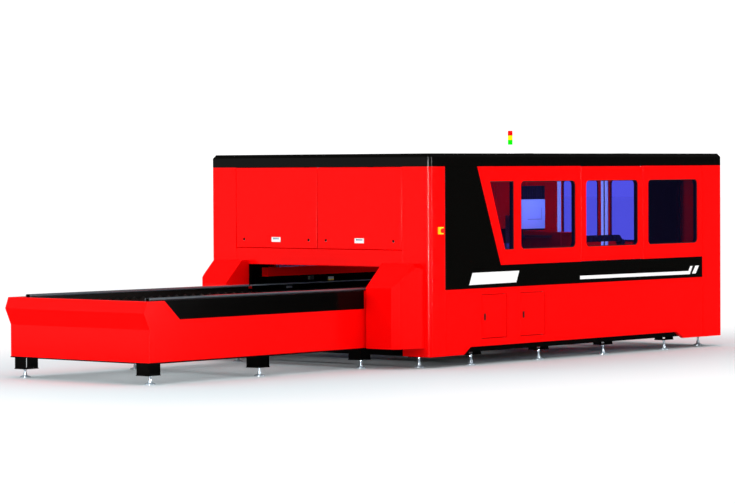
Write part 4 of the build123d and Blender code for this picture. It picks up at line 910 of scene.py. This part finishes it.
@dataclass
class OpeningTrim:
    """What shows in the entry: liners, a sheet of painted shade, post covers, guide strips, a track stop
    and two sensors.
    """

    stations: Stations
    half: float = 1.003
    lap: float = 0.001
    depth: float = 0.040
    low: float = 0.213
    high: float = 1.045
    film: float = 0.0008
    bed_face: float = 0.930
    strip_width: float = 0.028
    strip_low: float = 0.810
    strip_high: float = 0.823
    strip_start: float = -0.060
    strip_end: float = 3.990
    dark_sensor: tuple[float, float] = (0.92, 0.871)
    pale_sensor: tuple[float, float] = (1.25, 0.853)
    stop: tuple[float, float, float, float] = (0.512, 0.599, 0.769, 0.791)
    stop_seat: float = 0.918
    stop_depth: float = 0.007
    stop_edge: float = 0.001
    back_face: float = 1.516
    back_thickness: float = 0.002
    back_edge: float = 0.0005
    back_painted_shade: tuple[float, float, float, float] = (0.06, 4.90, 0.29, 1.08)
    sensor_length: float = 0.072
    sensor_height: float = 0.042
    sensor_depth: float = 0.024
    split_share: float = 0.1
    post_stations: tuple[float, ...] = (1.455, 2.562, 3.745, 4.895)
    post_side: float = 0.040
    post_face: float = 1.460
    post_low: float = 1.100
    post_high: float = 2.090

    def post_covers(self, shop: Workshop) -> None:
        """Clad two faces of each post along the back wall in red sheet."""
        seat = side_wall(self.stations.entry, self.post_face)
        flank = Wall((self.stations.entry, self.post_face, 0.0), (0, -1, 0), (0, 0, 1), (-1, 0, 0))
        outline = rectangle(0.0, self.post_side, self.post_low, self.post_high)
        face = slab(outline, self.film, FILM_EDGE, seat)
        side = slab(outline - (self.post_side, 0.0), self.film, FILM_EDGE, flank)
        offsets = np.array([(station, 0.0, 0.0) for station in self.post_stations])
        shop.add("post_covers", repeat(merge(face, side), offsets), Body.MACHINE, Slot.RED)

    def build(self, shop: Workshop) -> None:
        """Line the jambs, lay painted shade on the back, clad the posts, and fix what sits on the bed's
        inner faces.
        """
        self.post_covers(shop)
        self.edges(shop)
        self.sensors(shop)
        entry = self.stations.entry
        seat = side_wall(entry, self.stop_seat)
        stop = slab(rectangle(*self.stop), self.stop_depth, self.stop_edge, seat)
        shop.add("track_stop", stop, Body.MACHINE, Slot.GROUND_STEEL, "guide_steel")
        # A black sheet on the back wall's red inner face: painted shade for the unlit inside of the cabin.
        back = side_wall(entry, self.back_face)
        liner = slab(rectangle(*self.back_painted_shade), self.back_thickness, self.back_edge, back)
        shop.add("back_painted_shade", liner, Body.MACHINE, Slot.BLACK)

    def edges(self, shop: Workshop) -> None:
        """Line both jambs, and run a guide strip along each side of the bed."""
        entry = self.stations.entry
        liners, strips = [], []
        for hand in (-1, 1):
            jamb = side_wall(entry, hand * self.half, hand=hand)
            ends = sorted((hand * self.lap, hand * self.depth))
            liners.append(slab(rectangle(*ends, self.low, self.high), self.film, FILM_EDGE, jamb))
            bed = side_wall(entry, hand * self.bed_face, hand=hand)
            ends = sorted((hand * self.strip_start, hand * self.strip_end))
            outline = rectangle(*ends, self.strip_low, self.strip_high)
            strips.append(slab(outline, self.strip_width, PRESSED_EDGE, bed))
        shop.add("jamb_liners", merge(*liners), Body.MACHINE, Slot.BLACK)
        guides = merge(*strips)
        shop.add("guide_strips", guides, Body.MACHINE, Slot.GROUND_STEEL, "guide_steel", smooth=True)

    def sensors(self, shop: Workshop) -> None:
        """Fix a dark sensor, and a pale one in two colours, to the far side of the bed."""
        far = side_wall(self.stations.entry, self.bed_face)
        half_length, half_height = self.sensor_length / 2, self.sensor_height / 2
        station, level = self.pale_sensor
        split = level - self.split_share * self.sensor_height
        dark_station, dark_level = self.dark_sensor
        rows = (
            (
                "sensor_dark", "sensor_dark", dark_station, dark_level - half_height,
                dark_level + half_height,
            ),
            ("sensor_top", "sensor_grey", station, split, level + half_height),
            ("sensor_base", "sensor_yellow", station, level - half_height, split),
        )
        for name, finish, middle, low, high in rows:
            outline = rectangle(middle - half_length, middle + half_length, low, high)
            sensor = slab(outline, self.sensor_depth, PRESSED_EDGE, far)
            shop.add(name, sensor, Body.MACHINE, Slot.LATCH, finish)


@dataclass
class TableTrim:
    """The black field on the table's near side, and the small screws along its lip."""

    stations: Stations
    field_low: float = 0.621
    field_right: float = -0.374
    field_foot: float = -3.099
    field_head: float = -3.310
    film: float = 0.0008
    crown_width: float = 0.030
    screw: Corners = ((0.007, 0.0), (0.007, 0.002), (0.003, 0.004))
    screw_sides: int = 12
    screw_pitch: float = 0.388
    screw_rise: float = 0.007
    screw_lead: float = 0.12
    screw_tail: float = 0.5

    def build(self, shop: Workshop) -> None:
        """Lay the field, and set the screws of the lip."""
        low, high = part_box("table_sides")
        near = side_wall(self.stations.entry, low.y)
        top = high.z + self.film
        corners = (
            (self.field_foot, self.field_low), (self.field_right, self.field_low), (self.field_right, top),
            (self.field_head, top),
        )
        crown = level_seat(self.stations.entry, low.y, high.z)
        outline = rectangle(self.field_head, self.field_right, -self.film, self.crown_width)
        cover = slab(outline, self.film, FILM_EDGE, crown)
        shapes = merge(slab(corners, self.film, FILM_EDGE, near), cover)
        shop.add("table_field", shapes, Body.MACHINE, Slot.BLACK, "black_vinyl")
        low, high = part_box("table_frame")
        first, last = low.x + self.screw_lead, self.stations.entry - self.screw_tail
        count = int((last - first) / self.screw_pitch)
        offsets = np.zeros((count, 3))
        offsets[:, 0] = first + self.screw_pitch * np.arange(count)
        sides = []
        for hand, edge in ((1, low.y), (-1, high.y)):
            seat = side_wall(0.0, edge, low.z + self.screw_rise, hand)
            sides.append(repeat(turned(self.screw, seat, self.screw_sides), offsets))
        shop.add("lip_screws", merge(*sides), Body.MACHINE, Slot.LATCH, smooth=True)


@dataclass
class PalletTrim:
    """The polished half-round rail along the top of each side tube of a pallet."""

    body: Body
    node: str
    radius: float = 0.013
    tube: float = 0.050
    tube_inset: float = 0.038
    seat_gap: float = 0.0006
    round_gap: float = 0.0001
    round_steps: int = 9

    def build(self, shop: Workshop) -> None:
        """Carry a long round-edged section along both side tubes."""
        low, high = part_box(self.node)
        outer = high.y - self.tube_inset
        rails = []
        seat = Wall((low.x, 0.0, high.z + self.seat_gap), (0, 1, 0), (0, 0, 1), (1, 0, 0))
        for hand in (-1, 1):
            ends = sorted((hand * (outer + self.radius), hand * (outer - self.tube - self.radius)))
            corner = self.radius - self.round_gap
            section = rounded(*ends, -2 * self.radius, 0.0, corner, self.round_steps)
            rails.append(bar(section, high.x - low.x, seat))
        name = f"{self.body.value}_rails"
        shop.add(name, merge(*rails), self.body, Slot.GROUND_STEEL, "rail_steel", smooth=True)


@dataclass
class WindowTrim:
    """Black frames behind the panes of the operator side, and the seal over its door."""

    stations: Stations
    low: float = 1.206
    high: float = 1.936
    radius: float = 0.055
    wells: tuple[tuple[Body, float, float], ...] = (
        (Body.MACHINE, 1.5315, 2.4985), (Body.FRONT_DOOR, 2.6895, 3.6565), (Body.MACHINE, 3.8475, 4.8145),
    )
    key: Corners = ((1.255, 1.206), (1.410, 1.206), (1.410, 1.936), (1.000, 1.936))
    seat: float = 0.0175
    depth: float = 0.040
    thickness: float = 0.003
    seal_depth: float = 0.055
    seal_edge: float = 0.0005
    seal_low: float = 2.078
    seal_high: float = 2.0938
    seal_ends: tuple[float, float] = (2.590, 3.756)

    def head_seal(self, shop: Workshop) -> None:
        """Hang a strip of rubber behind the gap over the operator's door."""
        wall = self.stations.inner_front(self.seal_depth)
        outline = rectangle(-self.seal_ends[1], -self.seal_ends[0], self.seal_low, self.seal_high)
        seal = slab(outline, self.thickness, self.seal_edge, wall)
        shop.add("door_head_seal", seal, Body.MACHINE, Slot.RUBBER)

    def build(self, shop: Workshop) -> None:
        """Stand a band behind each pane, round its window, and seal the head of the door."""
        self.head_seal(shop)
        wall = self.stations.inner_front(self.seat)
        for number, (body, left, right) in enumerate(self.wells, 2):
            outline = rounded(-right, -left, self.low, self.high, self.radius)
            band = hoop(outline, self.thickness, self.depth, wall)
            shop.add(f"window_frame_{number}", band, body, Slot.RUBBER)
        band = hoop(np.array(self.key)[::-1] * (-1, 1), self.thickness, self.depth, wall)
        shop.add("window_frame_1", band, Body.MACHINE, Slot.RUBBER)


@dataclass
class RearTrim:
    """Pale strips that glow as painted light and a seal inside the rear doors, a black cabinet beside them,
    and the handles.
    """

    stations: Stations
    strips: tuple[tuple[Body, float, float], ...] = (
        (Body.REAR_FAR, 0.759, 0.804),
        (Body.REAR_FAR, 0.132, 0.145),
        (Body.REAR_NEAR, 0.110, 0.127),
        (Body.REAR_NEAR, 0.053, 0.090),
    )
    panel: float = 0.040
    strip_depth: float = 0.018
    strip_low: float = 0.55
    strip_high: float = 2.05
    seal: tuple[float, float] = (0.0905, 0.1095)
    seal_depth: float = 0.012
    seal_edge: float = 0.002
    cabinet: tuple[float, float, float, float] = (-1.000, -0.605, 0.55, 2.05)
    cabinet_depth: float = 0.085
    handles: tuple[tuple[Body, float], ...] = ((Body.REAR_FAR, 0.195), (Body.REAR_NEAR, 0.063))
    handle_low: float = 0.98
    handle_high: float = 1.18
    handle_reach: float = 0.042
    handle_radius: float = 0.007
    handle_bend: float = 0.020

    def handle_path(self) -> np.ndarray:
        """Out of the door, round a bend, up, round a bend and back in."""
        turn = np.linspace(0, math.pi / 2, 7)
        bend, reach = self.handle_bend, self.handle_reach
        rise, out = bend * (1 - np.cos(turn)), reach - bend + bend * np.sin(turn)
        low_bend = np.stack([self.handle_low + rise, out], 1)
        high_bend = low_bend[::-1] * (-1, 1) + (self.handle_low + self.handle_high, 0)
        foot, head = (self.handle_low, 0.0), (self.handle_high, 0.0)
        return np.concatenate([[foot], low_bend, high_bend, [head]])

    def build(self, shop: Workshop) -> None:
        """Stand each strip on the back of its door, then the seal, the cabinet and the handles."""
        inner = self.stations.inner_rear(self.panel)
        # Each strip glows as painted light behind the rear panes.
        for number, (body, left, right) in enumerate(self.strips, 1):
            outline = rectangle(-right, -left, self.strip_low, self.strip_high)
            strip = slab(outline, self.strip_depth, FOLDED_EDGE, inner)
            shop.add(f"rear_painted_light_strip_{number}", strip, body, Slot.WHITE, "painted_light_strip")
        outline = rectangle(-self.seal[1], -self.seal[0], self.strip_low, self.strip_high)
        seal = slab(outline, self.seal_depth, self.seal_edge, inner)
        shop.add("rear_seal", seal, Body.REAR_NEAR, Slot.RUBBER)
        left, right, low, high = self.cabinet
        cabinet = slab(rectangle(-right, -left, low, high), self.cabinet_depth, FOLDED_EDGE, inner)
        shop.add("inner_cabinet", cabinet, Body.MACHINE, Slot.BLACK)
        outside = self.stations.rear_wall()
        for number, (body, place) in enumerate(self.handles, 1):
            seat = Wall((self.stations.rear, place, 0.0), outside.along, outside.up, outside.out)
            rod = bent_rod(self.handle_path(), self.handle_radius, seat)
            shop.add(f"rear_handle_{number}", rod, body, Slot.LATCH, smooth=True)


@dataclass
class FootTrim:
    """Threads on the levelling studs, between each foot and its lock nut."""

    stations: Stations
    cabin_stations: tuple[float, ...] = (0.771, 1.93567, 3.10033, 4.265)
    cabin_half: float = 1.475
    corner_inset: float = 0.125
    corner_half: float = 1.305
    radius: float = 0.0110
    crest: float = 0.0009
    pitch: float = 0.0025
    sides: int = 16
    low: float = 0.054
    high: float = 0.092

    def build(self, shop: Workshop) -> None:
        """Turn one threaded sleeve, and repeat it at every cabin foot."""
        length = self.stations.rear - self.stations.entry
        flanks = np.array([(x, hand * self.cabin_half) for x in self.cabin_stations for hand in (-1, 1)])
        inset_x = (self.corner_inset, length - self.corner_inset)
        corners = np.array([(x, hand * self.corner_half) for x in inset_x for hand in (-1, 1)])
        flat = np.concatenate([flanks, corners]) + (self.stations.entry, 0.0)
        offsets = np.column_stack([flat, np.zeros(len(flat))])
        heights = np.arange(self.low, self.high, self.pitch / 2)
        reach = self.radius + self.crest * (np.arange(len(heights)) % 2)
        sleeve = turned(list(zip(reach, heights)), level_seat(0.0, 0.0, 0.0), self.sides)
        shop.add("stud_threads", repeat(sleeve, offsets), Body.MACHINE, Slot.ZINC)


@dataclass
class TowerTrim:
    """Dark joint rings between the tiers of the signal tower, and the white sleeve of its pole, which glows
    as painted light.
    """

    ring_height: float = 0.003
    ring_proud: float = 0.0006
    ring_sides: int = 40
    tiers: int = 3
    sleeve_radius: float = 0.0118
    sleeve_sides: int = 32
    foot_radius: float = 0.0364
    foot_height: float = 0.0104

    def build(self, shop: Workshop) -> None:
        """Ring the joint above each tier but the last, and sleeve the pole."""
        low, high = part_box("tower_lenses")
        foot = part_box("tower_pole")[0].z
        middle = ((low.x + high.x) / 2, (low.y + high.y) / 2)
        profile = (
            (self.foot_radius, 0.0), (self.foot_radius, self.foot_height),
            (self.sleeve_radius, self.foot_height), (self.sleeve_radius, low.z - foot),
        )
        sleeve = turned(profile, level_seat(*middle, foot), self.sleeve_sides)
        # The sleeve glows as painted light, so that it shows as bright white.
        shop.add("pole_sleeve", sleeve, Body.MACHINE, Slot.WHITE, "pole_white_painted_glow")
        radius = (high.x - low.x) / 2 + self.ring_proud
        half = self.ring_height / 2
        ring = turned(((radius, -half), (radius, half)), level_seat(*middle, low.z), self.ring_sides)
        tier = (high.z - low.z) / self.tiers
        rises = np.array([(0.0, 0.0, tier * step) for step in range(1, self.tiers)])
        shop.add("tower_rings", repeat(ring, rises), Body.MACHINE, Slot.LATCH, smooth=True)


@dataclass
class CoverTrim:
    """A painted shadow along the groove on the white cover above the cutting head."""

    shares: tuple[float, float, float, float] = (0.24, 0.84, 0.3, 0.7)
    width: float = 0.010
    film: float = 0.0006
    edge: float = 0.0001

    def build(self, shop: Workshop) -> None:
        """Lay the painted shadow's foot and its upright along the groove on the cover's front."""
        low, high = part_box("head_cover")
        span, rise = high.x - low.x, high.z - low.z
        left, right, foot, head = self.shares
        wall = side_wall(low.x, low.y, low.z)
        flat = rectangle(left * span, right * span, foot * rise, foot * rise + self.width)
        upright = rectangle(right * span - self.width, right * span, foot * rise + self.width, head * rise)
        # Dark strips of painted shadow where the groove lies.
        lines = [slab(line, self.film, self.edge, wall) for line in (flat, upright)]
        shop.add("cover_groove_shadow", merge(*lines), Body.CARRIAGE, Slot.WHITE, "groove_shadow")


@dataclass(frozen=True)
class SoftBox:
    """A soft box that the camera doesn't see: it shows in glossy faces, or it lights matt ones."""

    name: str
    place: Point
    target: Point
    size: tuple[float, float]
    power: float
    gloss: bool = False
    spread: float = 180.0

    def build(self) -> bpy.types.Object:
        """Stand the lamp at its place, turned to its target."""
        data = bpy.data.lights.new(self.name, "AREA")
        data.shape = "RECTANGLE"
        data.size, data.size_y = self.size
        data.energy = self.power
        data.spread = math.radians(self.spread)
        lamp = bpy.data.objects.new(self.name, data)
        lamp.location = self.place
        lamp.rotation_mode = "QUATERNION"
        lamp.rotation_quaternion = (Vector(self.target) - Vector(self.place)).to_track_quat("-Z", "Y")
        lamp.visible_camera = False
        lamp.visible_transmission = False
        lamp.visible_glossy = self.gloss
        lamp.visible_diffuse = not self.gloss
        bpy.context.scene.collection.objects.link(lamp)
        return lamp


@dataclass
class Studio:
    """The floor, the light and the camera."""

    stations: Stations
    camera_place: Point = (-25.5176, -22.1097, 2.0765)
    focal_pixels: float = 3105.157
    yaw: float = math.radians(49.0468)
    pitch: float = math.radians(1.5397)
    roll: float = math.radians(0.2829)
    floor_half: float = 150.0
    floor_colour: Colour = (0.93, 0.935, 0.94)
    shade_colour: Colour = (0.68, 0.76, 0.79)
    shade_reach: float = 4.5
    floor_gloss: float = 0.03
    surround: float = 1.15
    dim: float = 0.07
    side_glow: float = 0.8
    floor_roughness: float = 0.08
    floor_ramp: tuple[float, float] = (-4.0, -12.0)
    sky_ramp: tuple[float, float] = (-0.3, -0.7)
    clip: tuple[float, float] = (0.1, 1000.0)
    corner_inset: float = 0.05
    corner_level: float = 1.2
    strip_distance: float = 15.0
    strip_level: float = 1.6
    strip_size: tuple[float, float] = (0.3, 8.0)
    strips: tuple[tuple[str, float, float, float], ...] = (
        ("end_strip", -0.933, -0.359, 6500.0), ("side_strip", 0.52, -0.854, 1600.0),
    )

    def build(self) -> None:
        """Set the stage."""
        view = bpy.context.scene.view_settings
        view.view_transform = "Standard"
        view.look = "None"
        plane = self.floor()
        self.sky()
        self.lamps(plane)
        self.camera()

    def side_ramp(
        self,
        nodes: bpy.types.Nodes,
        links: bpy.types.NodeLinks,
        place: bpy.types.NodeSocket,
        near: float,
        far: float,
    ) -> bpy.types.NodeSocket:
        """A level that grows from dim to the side's glow as the place's X falls.

        Args:
            nodes: The tree's nodes.
            links: The tree's links.
            place: Where X is read.
            near: X where the level is still dim.
            far: X where it is full.

        Returns:
            The level's socket.
        """
        split = nodes.new("ShaderNodeSeparateXYZ")
        links.new(place, split.inputs[0])
        ramp = nodes.new("ShaderNodeMapRange")
        ramp.interpolation_type = "SMOOTHSTEP"
        levels = {"From Min": near, "From Max": far, "To Min": self.dim, "To Max": self.side_glow}
        for label, value in levels.items():
            ramp.inputs[label].default_value = value
        links.new(split.outputs["X"], ramp.inputs["Value"])
        return ramp.outputs["Result"]

    def mirrored(self, nodes: bpy.types.Nodes, links: bpy.types.NodeLinks) -> bpy.types.NodeSocket:
        """Whether a ray comes from a reflection, and not through glass."""
        path = nodes.new("ShaderNodeLightPath")
        through = nodes.new("ShaderNodeMath")
        through.operation = "SUBTRACT"
        through.use_clamp = True
        links.new(path.outputs["Is Glossy Ray"], through.inputs[0])
        links.new(path.outputs["Is Transmission Ray"], through.inputs[1])
        return through.outputs[0]

    def floor_shade(
        self, nodes: bpy.types.Nodes, links: bpy.types.NodeLinks, place: bpy.types.NodeSocket
    ) -> bpy.types.NodeSocket:
        """The floor's colour: darker by the machine, and paler with the distance from its outline.

        Args:
            nodes: The tree's nodes.
            links: The tree's links.
            place: The floor's object coordinates.

        Returns:
            The colour's socket.
        """
        low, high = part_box("base_frame")
        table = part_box("table_frame")[0]
        half = ((high.x - table.x) / 2, (high.y - low.y) / 2, 0.0)
        middle = ((high.x + table.x) / 2, (high.y + low.y) / 2, 0.0)
        value = place
        steps = (
            ("SUBTRACT", middle), ("ABSOLUTE", None), ("SUBTRACT", half), ("MAXIMUM", (0.0, 0.0, 0.0)),
            ("LENGTH", None),
        )
        for operation, second in steps:
            node = nodes.new("ShaderNodeVectorMath")
            node.operation = operation
            links.new(value, node.inputs[0])
            if second is not None:
                node.inputs[1].default_value = second
            value = node.outputs["Value"] if operation == "LENGTH" else node.outputs[0]
        fade = nodes.new("ShaderNodeMapRange")
        fade.interpolation_type = "SMOOTHSTEP"
        fade.inputs["From Max"].default_value = self.shade_reach
        links.new(value, fade.inputs["Value"])
        ramp = nodes.new("ShaderNodeValToRGB")
        ramp.color_ramp.elements[0].color = (*self.shade_colour, 1.0)
        ramp.color_ramp.elements[1].color = (*self.floor_colour, 1.0)
        links.new(fade.outputs["Result"], ramp.inputs["Fac"])
        return ramp.outputs["Color"]

    def floor(self) -> bpy.types.Object:
        """A wide pale floor that shows dimly in the machine's gloss.

        Returns:
            The floor.
        """
        mesh = bpy.data.meshes.new("floor")
        half = self.floor_half
        corners = np.array([(-half, -half, 0), (half, -half, 0), (half, half, 0), (-half, half, 0)], float)
        mesh.from_pydata(corners.tolist(), [], [[0, 1, 2, 3]])
        material = bpy.data.materials.new("floor")
        material.use_nodes = True
        nodes, links = material.node_tree.nodes, material.node_tree.links
        nodes.clear()
        place = nodes.new("ShaderNodeTexCoord").outputs["Object"]
        matte = nodes.new("ShaderNodeBsdfDiffuse")
        links.new(self.floor_shade(nodes, links, place), matte.inputs["Color"])
        gloss = nodes.new("ShaderNodeBsdfGlossy")
        gloss.inputs["Roughness"].default_value = self.floor_roughness
        sheen = nodes.new("ShaderNodeMixShader")
        sheen.inputs[0].default_value = self.floor_gloss
        links.new(matte.outputs[0], sheen.inputs[1])
        links.new(gloss.outputs[0], sheen.inputs[2])
        dim = nodes.new("ShaderNodeEmission")
        links.new(self.side_ramp(nodes, links, place, *self.floor_ramp), dim.inputs["Strength"])
        blend = nodes.new("ShaderNodeMixShader")
        links.new(self.mirrored(nodes, links), blend.inputs[0])
        links.new(sheen.outputs[0], blend.inputs[1])
        links.new(dim.outputs[0], blend.inputs[2])
        links.new(blend.outputs[0], nodes.new("ShaderNodeOutputMaterial").inputs["Surface"])
        mesh.materials.append(material)
        plane = bpy.data.objects.new("floor", mesh)
        bpy.context.scene.collection.objects.link(plane)
        return plane

    def sky(self) -> None:
        """A white surround, dim in reflections but for a glow beyond the exchange table."""
        world = bpy.data.worlds.new("surround")
        bpy.context.scene.world = world
        world.use_nodes = True
        nodes, links = world.node_tree.nodes, world.node_tree.links
        back = nodes["Background"]
        back.inputs["Color"].default_value = (1.0, 1.0, 1.0, 1.0)
        heading = nodes.new("ShaderNodeTexCoord").outputs["Generated"]
        level = nodes.new("ShaderNodeMix")
        level.inputs["A"].default_value = self.surround
        links.new(self.mirrored(nodes, links), level.inputs["Factor"])
        links.new(self.side_ramp(nodes, links, heading, *self.sky_ramp), level.inputs["B"])
        links.new(level.outputs["Result"], back.inputs["Strength"])

    def lamps(self, plane: bpy.types.Object) -> None:
        """Tall strips for the near corner's highlights, fills outside, and soft light in the cabin.

        Args:
            plane: The floor, which the strips don't show in.
        """
        spared = bpy.data.collections.new("spared_by_strips")
        spared.objects.link(plane)
        spared.collection_objects[0].light_linking.link_state = "EXCLUDE"
        entry, front = self.stations.entry, self.stations.front
        corner = (entry + self.corner_inset, front + self.corner_inset, self.corner_level)
        for name, ahead, aside, power in self.strips:
            x, y = corner[0] + self.strip_distance * ahead, corner[1] + self.strip_distance * aside
            box = SoftBox(name, (x, y, self.strip_level), corner, self.strip_size, power, gloss=True)
            box.build().light_linking.receiver_collection = spared
        low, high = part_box("head_cover")
        cover = ((low.x + high.x) / 2, low.y, (low.z + high.z) / 2)
        boxes = (
            SoftBox(
                "end_fill", place=(-19.0, 2.0, 3.0), target=(entry, 0.0, 1.2), size=(8.0, 4.0), power=900.0
            ),
            SoftBox(
                "side_fill", place=(3.0, -20.0, 3.0), target=(1.5, front, 1.0), size=(8.0, 4.0), power=500.0
            ),
            SoftBox(
                "cabin_box", place=(entry + 3.4, -0.5, 1.9), target=(entry + 5.1, 1.0, 1.5),
                size=(0.8, 0.3), power=17.0, spread=140.0,
            ),
            SoftBox(
                "cover_box", place=(cover[0] - 0.2, front + 0.12, 2.0), target=cover,
                size=(0.5, 0.1), power=5.0, spread=120.0,
            ),
        )
        for box in boxes:
            box.build()

    def camera(self) -> None:
        """Stand the camera where the photograph was taken from."""
        yaw, pitch, roll = self.yaw, self.pitch, self.roll
        ahead = Vector((math.sin(yaw) * math.cos(pitch), math.cos(yaw) * math.cos(pitch), -math.sin(pitch)))
        right = Vector((math.cos(yaw), -math.sin(yaw), 0.0))
        down = ahead.cross(right)
        across = math.cos(roll) * right + math.sin(roll) * down
        fall = math.cos(roll) * down - math.sin(roll) * right
        data = bpy.data.cameras.new("camera")
        data.sensor_width = SENSOR
        data.lens = self.focal_pixels / PHOTO_WIDTH * SENSOR
        data.clip_start, data.clip_end = self.clip
        camera = bpy.data.objects.new("camera", data)
        turn = Matrix((across, -fall, -ahead)).transposed()
        camera.matrix_world = Matrix.Translation(self.camera_place) @ turn.to_4x4()
        bpy.context.scene.collection.objects.link(camera)
        bpy.context.scene.camera = camera


def main() -> None:
    """Dress the machine, add its trim and set the stage."""
    logging.basicConfig(level=logging.INFO)
    shop = Workshop()
    shop.dress_nodes()
    stations = Stations()
    parts = (
        OperatorSide(stations),
        FlapTrim(stations, Body.FLAP_NEAR, "flap_fittings_near"),
        FlapTrim(stations, Body.FLAP_FAR, "flap_fittings_far"),
        OpeningTrim(stations),
        TableTrim(stations),
        PalletTrim(Body.UPPER_PALLET, "upper_pallet_frame"),
        PalletTrim(Body.LOWER_PALLET, "lower_pallet_frame"),
        WindowTrim(stations),
        RearTrim(stations),
        FootTrim(stations),
        TowerTrim(),
        CoverTrim(),
    )
    for part in parts:
        part.build(shop)
    Studio(stations).build()


if __name__ == "__main__":
    main()
